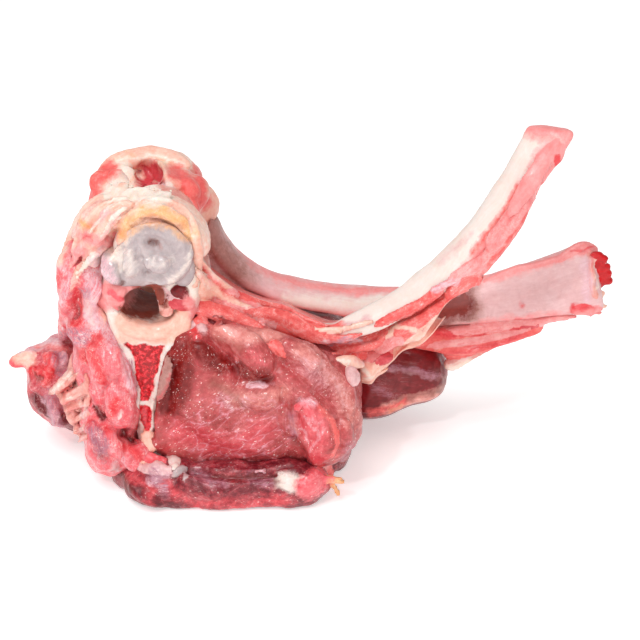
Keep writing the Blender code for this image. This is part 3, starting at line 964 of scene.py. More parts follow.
skin(
    "vertebra_near", "vertebra_front",
    flesh("bone", bump=0.25, wet=0.6, varied=0.8, fray=0.6, rough_at=0.40),
    voxel=0.55, relax=6, grow=0.3, relief=sawn_bone, trims=[(KNOB_TOP, 1)],
    strands=[
        ("bone", [(117, 332, 8), (124, 347, 8), (130, 361, 6), (135, 376, 5), (137, 392, 5),
                  (137, 406, 6), (138, 424, 6), (142, 434, 7)], 0.2, 0.8),
        ("bone", [(174, 338, 12), (168, 350, 8), (163, 362, 7), (159, 377, 6), (156, 392, 6),
                  (153, 404, 7), (152, 418, 6), (151, 432, 8)], 0.7, 0.8),
        # A thin flap in the crease between the spine and the eye, coloured brown as painted shade.
        ("brown", [(166, 354, 6), (168, 364, 11), (166, 378, 13), (162, 391, 11), (158, 402, 6)],
         0.6, 0.35, "loin_eye"),
        ("fat", [(120, 325, 12), (135, 331, 13), (155, 333, 13), (172, 331, 13)], 0.0, 0.5),
        ("fat", [(178, 310, 12), (184, 320, 15), (181, 334, 15), (172, 345, 9)], 0.2, 0.5),
        ("bone", [(138, 404, 3), (145, 405, 3), (153, 404, 3)], 0.3, 0.7),
        ("fat", [(146, 430, 12), (150, 442, 17, -2), (154, 452, 12, -3)], 0.4, 0.7),
        ("pink", [(104, 296, 12), (116, 290, 16), (126, 289, 11)], 0.2, 0.5),
        ("pink", [(108, 300, 12), (118, 300, 14), (118, 309, 6)], 0.2, 0.5),
        ("rosy", [(153, 286, 6, 2), (160, 291, 12, 1), (161, 300, 9, 0), (158, 304, 3, 0)],
         0.0, 0.3),
        ("rosy", [(164, 286, 6, 2), (171, 292, 10, 2), (170, 300, 4, 1)], 0.0, 0.3),
        ("clot", [(173, 295, 7, 0), (180, 291, 11), (187, 297, 9)], 0.3, 0.7),
        ("blush", [(160, 294, 8, 3), (166, 304, 14, 2), (166, 316, 12, 0)], 0.0, 0.6),
        ("lobe", [(168, 303, 7, 2), (182, 305, 11), (194, 304, 8)], 0.2, 0.6),
    ],
    marks=[
        ("fat", area([(112, 316), (126, 312), (150, 322), (176, 312), (192, 318), (186, 344),
                      (118, 342)], 5), 1),
        ("marrow", area(MARROW, 3.0), 1),
        ("marrow", area(MARROW_BELOW, 2.6), 1),
        ("pink", line([(145, 409), (146, 428)], 2.5, 4), 0.75),
        # Painted shade: the hollow mark colours the inside of the spinal canal dark brown.
        ("hollow", area([(118, 284), (164, 280), (168, 306), (156, 320), (130, 321),
                         (114, 308)], 6), 1),
        ("blush", line([(158, 302), (168, 312)], 5, 6), 0.8),
        ("cream", area([(192, 214), (204, 214), (204, 300), (196, 306), (188, 292)], 6), 1),
        ("blush", area([(202, 230), (224, 236), (230, 300), (204, 300)], 6), 1),
        ("blush", line([(160, 192), (180, 198), (198, 216)], 9, 8), 1),
        ("cream", line([(110, 200), (130, 190), (150, 189)], 8, 8), 1),
        ("salmon", line([(203, 268), (214, 282), (230, 294)], 2, 5), 1),
        ("cream", line([(197, 270), (208, 287), (216, 296)], 2, 5), 1),
        ("cream", line([(200, 294), (210, 296)], 3, 5), 1),
        ("cream", line([(126, 318), (150, 326), (174, 318)], 6, 8), 0.5),
        ("soft", line([(190, 300), (196, 318)], 6, 6), 1),
        ("soft", line([(104, 296), (122, 292)], 14, 9), 1),
        ("pink", line([(112, 292), (120, 298)], 8, 8), 0.9),
        ("veil", line([(130, 362), (136, 388)], 3, 3), 0.7),
        ("lobe", line([(172, 376), (167, 390), (158, 400)], 2, 6), 0.8),
    ],
)

# %% [markdown]
# The far bone of the back stands behind and shows over the fat. Loose fat was left on it, and a
# dark red hollow, deep enough to throw its own shadow, goes in near its top. Only its near
# side is seen from the front, so marks placed by x and z finish its far cut: a disc, a rim of
# ligament and a field of marrow, like those of the near cut.

# %% The far bone of the back
skin(
    "vertebra_far", "vertebra_rear",
    flesh("fat", bump=0.3, wet=0.5, varied=0.8, fray=0.6, rough_at=0.42),
    voxel=0.7, relax=8, grow=0.3, relief=lambda p, c: 0.6 * rough(p, 7.0, 8),
    strands=[
        ("", [(182, 170, 14), (188, 184, 18), (192, 198, 18)], 0.2, 0.6),
        ("rosy", [(184, 200, 12), (190, 209, 18), (190, 218, 14)], 0.6, 0.7),
        ("fat", [(114, 170, 14), (120, 184, 18), (126, 196, 14)], 0.6, 0.6),
        ("fat", [(100, 174, 12, 44), (112, 165, 18, 46), (130, 159, 20, 48), (150, 157, 22, 50),
                 (172, 160, 20, 48), (190, 168, 14, 44)], 0.0, 0.7),
        ("fat", [(98, 184, 16, 42), (112, 178, 22, 42), (128, 176, 22, 42), (134, 174, 12, 43)],
         0.0, 0.7),
        ("", [(94, 192, 10, 40), (96, 182, 14, 41), (104, 172, 12, 43)], 0.3, 0.7),
        ("cream", [(166, 182, 6), (172, 194, 8), (178, 206, 6)], 0.5, 0.5),
        ("", [(136, 164, 6), (148, 161, 7), (160, 165, 7), (166, 176, 6)], 0.5, 0.6),
    ],
    dents=[
        (-5.0, line([(149, 174), (151, 182)], 11, 4)),
        (-1.2, line([(182, 190), (178, 206)], 1.5, 2)),
    ],
    marks=[
        ("cream", area([(106, 168), (126, 158), (136, 166), (132, 190), (120, 200),
                        (106, 192)], 8), 1),
        ("salmon", line([(90, 194), (98, 180), (110, 170)], 9, 9), 1),
        ("cream", line([(118, 160), (150, 154), (184, 164)], 6, 9), 0.9),
        ("gold", line([(114, 158), (134, 153)], 4, 9), 0.5),
        ("gold", line([(160, 162), (178, 166)], 5, 9), 0.6),
        ("salmon", line([(176, 172), (188, 186), (202, 202)], 9, 8), 1),
        ("salmon", line([(196, 172), (202, 190)], 6, 7), 1),
        ("red", line([(184, 178), (198, 194)], 4, 7), 0.8),
        ("lobe", line([(149, 174), (151, 184)], 13, 5), 1),
        ("clot", line([(147, 172), (152, 184)], 8, 8), 0.9),
        ("red", line([(94, 193), (99, 183), (107, 176)], 4, 8), 0.6),
        ("salmon", line([(192, 220), (198, 232)], 6, 6), 1),
        ("red", line([(154, 197)], 6, 4), 0.9),
        ("rosy", line([(164, 186), (176, 204)], 6, 7), 1),
        ("rosy", line([(190, 206), (192, 216)], 7, 6), 0.8),
    ],
    behind=[
        ("grey", line([(-5, 78), (3, 78)], 8.0, 1.0), 1),
        ("gold", line([(-14, 80), (-8, 88), (2, 90), (10, 86), (13, 79)], 1.6, 1.2), 0.9),
        ("marrow", area([(-8, 50), (6, 50), (2, 40), (-4, 40)], 0.8), 1),
        ("pink", line([(-18, 70), (-20, 80)], 3, 2), 0.9),
        ("soft", line([(14, 70), (16, 80)], 3, 2), 0.9),
    ],
)

# %% [markdown]
# Between two bones of the back lies a disc of cartilage, and the cut went through it. It is wet,
# grey-white and lumpy, with two small pits where the soft core came away. Its lumps could be
# noise alone, but four low strands put the large ones where the real disc has them.

# %% The disc
skin(
    "disc_cartilage", "disc",
    flesh("grey", bump=0.1, wet=1.0, varied=0.7, fray=0.5, rough_at=0.22),
    voxel=0.55, relax=10, grow=0.3, settle=6, grain=(0, 1, 0), stretch=1.0,
    relief=lambda p, c: (0.3 * rough(p, 9.0, 21, 2) + 0.28 * rough(p, 3.2, 22, 2)
                         - 0.3 * ridged(p, 9.0, 24) ** 3),
    strands=[
        ("", [(112, 246, 10), (108, 260, 16), (112, 274, 18), (122, 282, 10)], 0.5, 0.5),
        ("", [(126, 234, 8), (142, 229, 12), (158, 229, 14), (174, 237, 18), (184, 252, 20),
              (180, 268, 18), (166, 279, 14), (150, 281, 8)], 0.5, 0.5),
        ("", [(130, 252, 12), (130, 264, 16), (134, 276, 12)], 0.4, 0.5),
        ("", [(144, 256, 10), (150, 264, 14), (162, 266, 16), (168, 258, 10)], 0.6, 0.5),
    ],
    dents=[
        (-1.8, line([(149, 243), (155, 245)], 4, 3)),
        (-1.4, line([(147, 274)], 3, 3)),
        (-1.0, line([(136, 240), (139, 252), (142, 262), (145, 274)], 1.2, 2)),
        (-1.0, line([(124, 244), (121, 258), (120, 272), (124, 284)], 1.2, 2)),
        (-0.7, line([(136, 256), (146, 258), (158, 252), (168, 256)], 1.2, 2)),
    ],
    marks=[
        ("shade", line([(149, 243), (155, 245)], 3, 4), 0.75),
        ("shade", line([(147, 274)], 2, 3), 0.7),
        ("bone", line([(129, 256), (131, 272)], 6, 9), 0.7),
        ("bone", line([(150, 262), (160, 266), (172, 260)], 4, 9), 0.62),
        ("bone", line([(124, 244), (126, 232)], 5, 6), 0.8),
        ("bone", line([(122, 252), (120, 270)], 4, 6), 0.8),
        ("shade", line([(116, 286), (124, 284)], 3, 3), 0.7),
        ("film", line([(104, 262), (110, 280)], 7, 6), 1),
        ("cream", line([(112, 236), (114, 256)], 6, 8), 0.9),
        ("cream", line([(170, 281), (188, 266), (192, 244)], 2, 7), 0.8),
        ("gold", line([(124, 240), (134, 228), (152, 224), (172, 228), (186, 240)], 3, 7), 0.8),
        # Painted shade round the upper pit.
        ("brown", line([(150, 240), (160, 248)], 5, 8), 0.5),
    ],
)

# %% [markdown]
# Over the disc runs a yellow ligament, and left of it fat and sinew were torn loose when the
# neighbouring chop came away. A cut border would be clean and even. The torn edge is built from
# thin leaves that overlap and end in points, because torn sinew splits along its fibres, and
# the tufts that stand up carry their own depth, since nothing lies behind them to rest on.

# %% Fat and ligament over the backbone
skin(
    "backbone_fat", "chine_fat",
    flesh("fat", bump=0.4, wet=0.6, veins=0.4, fray=0.7, rough_at=0.42),
    voxel=0.55, relax=8, grow=0.25, grain=(1, 0, 1.1), stretch=4.0,
    relief=lambda p, c: 0.35 * rough(p, 5.0, 31) + 0.2 * ridged(c, 2.2, 33),
    strands=[
        ("", [(119, 240, 6), (124, 227, 9), (136, 216, 12), (152, 211, 13), (168, 213, 13),
              (182, 222, 11), (190, 236, 7)], 0.5, 0.5),
        ("", [(118, 244, 7), (127, 230, 12), (144, 223, 13), (160, 223, 13), (177, 230, 12),
              (190, 246, 8)], 0.1, 0.45, "disc"),
        ("fat", [(140, 204, 6), (158, 202, 8), (176, 206, 9), (190, 219, 9), (196, 236, 8),
                 (198, 254, 9), (197, 272, 9), (194, 288, 7)], 0.6, 0.6),
        ("fat", [(134, 203, 8), (120, 209, 14), (108, 222, 15), (98, 238, 9), (92, 248, 4)],
         1.0, 0.3),
        ("fat", [(128, 198, 8), (110, 207, 15), (94, 222, 17), (80, 242, 14), (72, 256, 6)],
         1.4, 0.3),
        ("fat", [(112, 197, 8), (96, 203, 13), (84, 216, 15), (72, 238, 12), (64, 256, 6)],
         1.4, 0.35),
        ("fat", [(102, 204, 8), (110, 193, 10), (118, 186, 5, 13)], 1.0, 0.4),
        ("fat", [(112, 198, 8), (120, 190, 9, 11), (126, 183, 3, 14)], 0.8, 0.4),
        ("cream", [(118, 200, 9), (134, 193, 11, 9), (146, 191, 8, 9), (150, 194, 4)], 0.8, 0.35),
        ("cream", [(140, 200, 8), (154, 199, 7), (162, 201, 4)], 0.6, 0.4),
        ("cream", [(152, 203, 7), (163, 199, 8), (166, 192, 3, 8)], 0.6, 0.4),
        ("cream", [(112, 196, 7), (118, 188, 6, 12), (121, 180, 2, 15)], 0.4, 0.4),
        ("cream", [(140, 196, 6), (147, 190, 4, 9), (150, 186, 1.5, 11)], 0.4, 0.4),
        ("cream", [(128, 196, 6), (132, 189, 4, 10), (133, 185, 1.5, 12)], 0.4, 0.4),
        ("soft", [(98, 238, 7), (108, 243, 11), (116, 240, 9), (114, 232, 5)], 0.7, 0.5),
        ("cream", [(118, 204, 5), (104, 214, 8), (92, 228, 7), (84, 240, 3)], 2.4, 0.3),
        ("blush", [(104, 200, 5), (92, 210, 8), (80, 226, 7), (72, 240, 3)], 2.2, 0.3),
        ("cream", [(128, 208, 5), (116, 218, 8), (106, 232, 6), (100, 240, 3)], 2.2, 0.3),
        ("blush", [(92, 236, 4), (82, 248, 7), (74, 262, 6), (68, 272, 2)], 1.4, 0.35),
        ("cream", [(104, 248, 4), (92, 258, 7), (82, 270, 5), (76, 280, 2)], 1.4, 0.35),
        ("cream", [(122, 200, 6), (125, 192, 6, 11), (127, 186, 4, 13), (126, 181, 1.5, 14)],
         0.6, 0.5),
        ("cream", [(134, 198, 5), (138, 191, 4, 9), (140, 186, 1.5, 10)], 0.6, 0.5),
        ("cream", [(144, 198, 5), (152, 192, 4, 8), (156, 188, 1.5, 9)], 0.8, 0.5),
        ("cream", [(160, 200, 6), (168, 196, 6, 6), (171, 190, 2, 8)], 0.8, 0.5),
        ("bone", [(110, 200, 5), (116, 192, 6, 11), (116, 185, 3, 13)], 1.0, 0.4),
        ("cream", [(106, 194, 5), (110, 188, 5, 13), (112, 182, 1.5, 15)], 0.6, 0.4),
        ("cream", [(156, 198, 5), (160, 193, 4, 7), (161, 188, 1.5, 9)], 0.6, 0.4),
        ("fat", [(112, 244, 4), (98, 252, 8), (84, 262, 6), (74, 274, 3)], 1.0, 0.4),
        ("fat", [(78, 234, 6), (88, 240, 10), (102, 244, 6)], 0.8, 0.35),
    ],
    dents=[
        (-1.2, line([(98, 216), (86, 228)], 2, 2)),
        (-1.3, line([(136, 206), (122, 214), (112, 226), (106, 240)], 0.8, 1.5)),
        (-1.1, line([(112, 200), (98, 212), (86, 228), (76, 246)], 0.8, 1.5)),
        (-0.9, line([(104, 246), (90, 256), (78, 270)], 0.8, 1.5)),
        (-0.8, line([(120, 206), (106, 214), (94, 230)], 0.8, 1.5)),
        (-0.9, line([(150, 200), (172, 206), (188, 218), (194, 234)], 0.8, 1.5)),
        (-0.8, line([(128, 224), (142, 218), (160, 220), (178, 230)], 1.5, 2)),
    ],
    marks=[
        ("gold", line([(120, 236), (130, 222), (144, 214), (164, 213), (180, 220),
                       (191, 234)], 6, 9), 1),
        ("tan", line([(134, 224), (150, 219), (166, 220), (182, 229)], 2.5, 6), 0.75),
        ("cream", everywhere, 0.42),
        ("cream", line([(110, 194), (140, 194), (164, 198)], 10, 8), 1),
        ("cream", line([(176, 206), (190, 220), (196, 240)], 4, 8), 0.9),
        ("soft", line([(84, 236), (96, 242), (112, 240)], 6, 8), 0.9),
        ("soft", line([(70, 262), (80, 252)], 8, 9), 1),
        # Painted shade: thin pink lines along the creases between the torn leaves, and short red
        # ones between their tips.
        ("soft", line([(76, 244), (90, 226), (106, 210)], 2, 5), 0.8),
        ("soft", line([(98, 244), (108, 228), (124, 214)], 2, 5), 0.8),
        ("red", line([(84, 238), (92, 238)], 2, 3), 0.9),
        ("red", line([(104, 242), (114, 246)], 3, 5), 0.8),
        ("gold", line([(83, 222), (87, 228)], 4, 5), 0.8),
        ("rosy", line([(100, 220), (112, 212)], 5, 6), 0.7),
        ("film", line([(96, 262), (104, 254)], 7, 6), 1),
    ],
)

# %% [markdown]
# On the sawn side of the spine the flesh is a mixture: pale pink muscle in long lobes, streaks
# of fat, bluish membrane and dark clots. Many small pieces could be laid side by side, but one
# skin with many marks has no gaps, and its tissues run into each other as real ones do.

# %% Flesh beside the backbone
skin(
    "flesh_beside_backbone", "near_lean",
    flesh("pink", bump=0.4, streaks=0.2, wet=1.0, veins=0.55, painted_glints=0.5, varied=0.9, fray=0.6,
          hairy=0.6),
    voxel=0.6, relax=10, grow=0.3, grain=(0.25, 0, 1), stretch=3.0,
    relief=lambda p, c: 0.6 * rough(p, 6.0, 41) + 0.3 * ridged(c, 2.6, 43),
    strands=[
        ("", [(112, 384, 12), (118, 398, 26), (121, 412, 31), (122, 426, 20)], 0.6, 0.7),
        ("", [(108, 344, 16), (112, 360, 22), (116, 376, 20)], 0.4, 0.6),
        ("", [(118, 356, 10), (124, 370, 13), (127, 386, 14), (130, 404, 10)], 0.4, 0.7),
        ("", [(92, 346, 14), (98, 364, 18), (100, 382, 16)], 0.5, 0.6),
        ("", [(94, 388, 12), (100, 400, 14), (106, 414, 10)], 0.4, 0.6),
        ("", [(92, 422, 12), (97, 436, 18), (104, 450, 18)], 0.5, 0.6),
        ("", [(110, 430, 12), (114, 444, 16), (120, 458, 12)], 0.5, 0.6),
        ("", [(134, 444, 12), (142, 452, 17), (146, 462, 14)], 0.6, 0.6),
        ("", [(128, 452, 9), (132, 462, 13), (138, 470, 9)], 0.5, 0.6),
        ("bone", [(121, 418, 4), (122, 411, 5), (126, 402, 2)], 3.4, 0.5),
        ("film", [(118, 440, 3), (121, 454, 4), (128, 466, 3)], 0.6, 0.5),
        ("", [(70, 326, 10), (80, 338, 14), (92, 342, 10)], 0.4, 0.6),
        ("film", [(96, 276, 9), (97, 290, 10), (92, 306, 8), (86, 318, 6)], 0.2, 0.5),
        ("fat", [(84, 264, 4), (76, 276, 5), (72, 290, 4)], 0.4, 0.5),
        ("", [(70, 250, 16), (68, 266, 24), (68, 286, 26), (68, 306, 26), (66, 324, 22),
              (62, 338, 12)], -0.5, 0.6),
        ("bone", [(84, 308, 5), (90, 312, 6), (84, 318, 3)], 0.4, 0.5),
    ],
    dents=[
        (-2.2, line([(77, 296), (74, 318)], 5, 4)),
        (-2.8, line([(124, 434), (134, 438)], 5, 4)),
        (-1.2, line([(104, 388), (104, 404), (110, 424), (124, 431)], 1.5, 2)),
        (-1.0, line([(104, 350), (108, 372), (108, 386)], 1.5, 2)),
        (-1.2, line([(110, 458), (122, 466)], 2, 3)),
        (-1.2, line([(102, 474), (126, 472)], 2, 3)),
        (-1.0, line([(122, 352), (130, 376)], 1.2, 2)),
    ],
    marks=[
        ("film", everywhere, 0.36),
        ("lobe", everywhere, 0.4),
        ("film", line([(98, 262), (94, 280), (98, 300)], 10, 7), 1),
        ("film", line([(92, 316), (108, 328), (116, 342)], 10, 8), 1),
        ("fat", line([(100, 300), (104, 320)], 7, 8), 0.8),
        ("veil", line([(66, 336), (88, 336)], 9, 8), 0.9),
        ("veil", line([(84, 292), (88, 302)], 5, 4), 1),
        ("film", line([(128, 352), (132, 384)], 8, 6), 1),
        ("red", line([(88, 354), (96, 338)], 9, 8), 1),
        ("red", line([(98, 360), (102, 376)], 7, 6), 0.9),
        ("red", line([(118, 404), (112, 416)], 6, 7), 0.9),
        ("red", line([(92, 424), (104, 430)], 6, 6), 0.9),
        ("red", line([(58, 276), (60, 330)], 5, 6), 0.8),
        ("red", line([(78, 292), (78, 306), (74, 322)], 7, 7), 0.9),
        ("clot", line([(79, 296), (78, 304)], 3, 5), 0.9),
        ("clot", line([(74, 310), (72, 318)], 3, 5), 0.9),
        ("film", line([(60, 262), (70, 276), (62, 300)], 4, 8), 0.9),
        ("film", line([(100, 284), (104, 306)], 5, 8), 1),
        ("rosy", line([(88, 300), (92, 322)], 6, 8), 0.9),
        ("clot", line([(97, 406), (103, 418)], 4, 3), 0.9),
        ("gold", line([(77, 272), (80, 284)], 3, 6), 0.6),
        ("clot", line([(124, 434), (134, 438)], 5, 3), 0.8),
        ("mauve", line([(98, 442), (103, 456)], 6, 9), 0.75),
        ("veil", line([(96, 430), (102, 446)], 7, 6), 1),
        ("red", line([(126, 448), (140, 456)], 9, 8), 0.7),
        ("rosy", line([(114, 468), (126, 474)], 5, 6), 0.8),
        ("fat", line([(66, 244), (62, 262)], 6, 6), 0.9),
    ],
    behind=[
        ("film", line([(-20, 30), (-16, 58), (-20, 70)], 2.5, 2), 0.9),
        ("fat", line([(-12, 24), (-13, 40)], 2, 1.5), 0.8),
        ("lobe", line([(-24, 20), (-22, 44)], 3, 3), 0.9),
        ("red", line([(-17, 44), (-14, 52)], 2, 2), 0.8),
    ],
)

# %% [markdown]
# Low on the left a small muscle hangs out, bright red where it was cut and bluish where its
# membrane is left on, with a tip of fat. The membrane could be a second thin mesh. It is a tint
# in the same skin, because a film this thin follows every swell of the flesh under it.

# %% The small muscle
skin(
    "small_muscle", "side_lean",
    flesh("lean", bump=0.5, streaks=0.2, wet=0.8, veins=0.4, fray=0.7),
    voxel=0.65, relax=10, grow=0.25, grain=(1, 0, 0.4), stretch=2.5,
    relief=lambda p, c: 0.8 * rough(p, 7.0, 51) - 0.5 * ridged(p, 8.0, 53) ** 2,
    strands=[
        ("fat", [(34, 356, 14), (24, 359, 18), (14, 362, 12), (9, 363, 3)], 0.3, 0.6),
        ("red", [(44, 354, 9), (52, 358, 11), (52, 368, 9)], 1.0, 0.6),
        ("red", [(52, 366, 9), (46, 374, 11), (44, 388, 9)], 1.0, 0.6),
        ("", [(30, 366, 12), (36, 378, 16), (34, 392, 12)], 0.6, 0.6),
        ("film", [(64, 350, 8), (66, 360, 9), (58, 370, 5)], 0.6, 0.5),
        ("veil", [(48, 398, 12), (54, 412, 18), (62, 426, 14)], 0.6, 0.5),
        ("mauve", [(36, 396, 10), (42, 408, 12), (52, 420, 8)], 0.4, 0.5),
    ],
    dents=[
        (-1.5, line([(36, 372), (40, 378)], 4, 4)),
        (-1.2, line([(46, 392), (44, 404), (50, 420)], 1.5, 3)),
    ],
    marks=[
        ("film", everywhere, 0.3),
        ("veil", line([(52, 400), (62, 426)], 9, 7), 1),
        ("film", line([(42, 402), (54, 420)], 5, 8), 0.9),
        ("veil", line([(58, 358), (64, 376)], 7, 6), 1),
        ("film", line([(24, 352), (40, 343), (56, 340)], 8, 7), 1),
        ("soft", line([(36, 346), (52, 346), (66, 352)], 5, 7), 0.9),
        ("red", line([(30, 370), (48, 372)], 8, 7), 0.9),
        ("fat", line([(14, 362), (26, 360)], 9, 6), 1),
        ("pink", line([(10, 362), (24, 368)], 5, 5), 0.8),
        ("shade", line([(36, 374), (40, 380)], 4, 5), 0.7),
        ("mauve", line([(64, 416), (74, 438)], 8, 8), 0.9),
        ("mauve", line([(34, 398), (44, 412)], 6, 6), 0.8),
    ],
)

# %% [markdown]
# In front of the small muscle hangs a row of cream fat leaves. One leaf copied in an array would
# look combed, so each is a tapered flat strand of its own, given by three or four stops, and
# narrow dents between them throw the shadows that part them.

# %% Leaves of fat
def leaf(*stops):
    return ("", list(stops), 0.8, 0.4, None)


skin(
    "fat_leaves", "side_fat",
    flesh("blush", bump=0.35, wet=0.6, varied=1.2, rough_at=0.40),
    voxel=0.55, relax=8, grow=0.2, grain=(1, 0, 0.9), stretch=5.0,
    relief=lambda p, c: 0.25 * rough(p, 4.0, 61) + 0.25 * ridged(c, 2.0, 63),
    strands=[
        leaf((86, 362, 6), (75, 371, 10), (62, 383, 10), (49, 394, 4)),
        leaf((80, 372, 4), (68, 382, 6), (57, 390, 3)),
        leaf((86, 374, 8), (87, 392, 8), (87, 412, 8), (86, 434, 6)),
        leaf((88, 380, 9), (76, 388, 10), (64, 394, 4)),
        leaf((88, 392, 9), (76, 398, 9), (65, 403, 3)),
        leaf((90, 404, 9), (78, 408, 9), (69, 411, 3)),
        leaf((92, 414, 9), (82, 418, 9), (72, 421, 3)),
        leaf((92, 425, 9), (83, 430, 9), (73, 434, 3)),
        leaf((92, 432, 8), (84, 438, 7), (76, 442, 2)),
    ],
    dents=[
        (-3.4, line([(56, 399), (66, 391), (82, 379)], 1.5, 2)),
        (-1.8, line([(62, 408), (70, 404), (86, 396)], 1.2, 1.8)),
        (-1.8, line([(64, 415), (74, 412), (90, 408)], 1.2, 1.8)),
        (-1.8, line([(68, 428), (78, 424), (90, 419)], 1.2, 1.8)),
        (-1.6, line([(72, 438), (80, 435), (92, 429)], 1.2, 1.8)),
    ],
    marks=[
        ("red", line([(60, 396), (68, 390), (84, 378)], 2.0, 4), 0.8),
        ("soft", line([(66, 406), (86, 396)], 1.5, 4), 0.8),
        ("soft", line([(70, 413), (88, 408)], 1.5, 4), 0.8),
        ("soft", line([(72, 426), (90, 419)], 1.5, 4), 0.8),
        ("rosy", line([(84, 408), (82, 440)], 4, 6), 0.7),
        ("cream", line([(54, 390), (64, 381), (76, 370)], 1.5, 5), 0.9),
        ("cream", line([(70, 398), (80, 400), (84, 430)], 2, 6), 0.7),
    ],
)

# %% [markdown]
# The eye of the loin is cut across its fibres, so the cut face shows the ends of the bundles as
# slanting wet ridges, with silvery tissue between them. A bump in the material could hint at
# them, but real ridges break the outline of the highlights. They are rounded cells in the
# unrolled grain, and fade out towards the top, where the face was drawn smooth.

# %% The face of the eye
BUNDLES_BELOW = 36
LUMPS_FROM = 40
FADE = 8


def eye_relief(points, combed):
    """Slanting bundles, finer fibres on them, and soft sagging swells."""
    low = np.clip((BUNDLES_BELOW - points[:, 2]) / FADE, 0.15, 1)
    bundles = low * (1 - cells(combed, 2.9, 71) ** 2)
    right = np.clip((points[:, 0] - LUMPS_FROM) / FADE, 0, 1)
    lumps = right * rough(points, 3.6, 78, 2)
    swells = 0.8 * rough(points, 11.0, 75, 2)
    return swells + 0.6 * bundles + 0.5 * lumps + 0.1 * rough(points, 2.2, 77)


foot_and_top = np.array([[20, 0, 10], [20, 0, 48.0]])
print("relief low and high on the eye, mm:", eye_relief(foot_and_top, foot_and_top).round(2))

# %% [markdown]
# The eye also sagged after the cut: a tongue of flesh hangs at its top left and a plug of paler
# muscle stands out low on the right, with deep folds round both. They are strands of its own
# tissue and dents beside them. Where the spine lies in front, the eye is pressed back, so that
# the two don't run through each other.

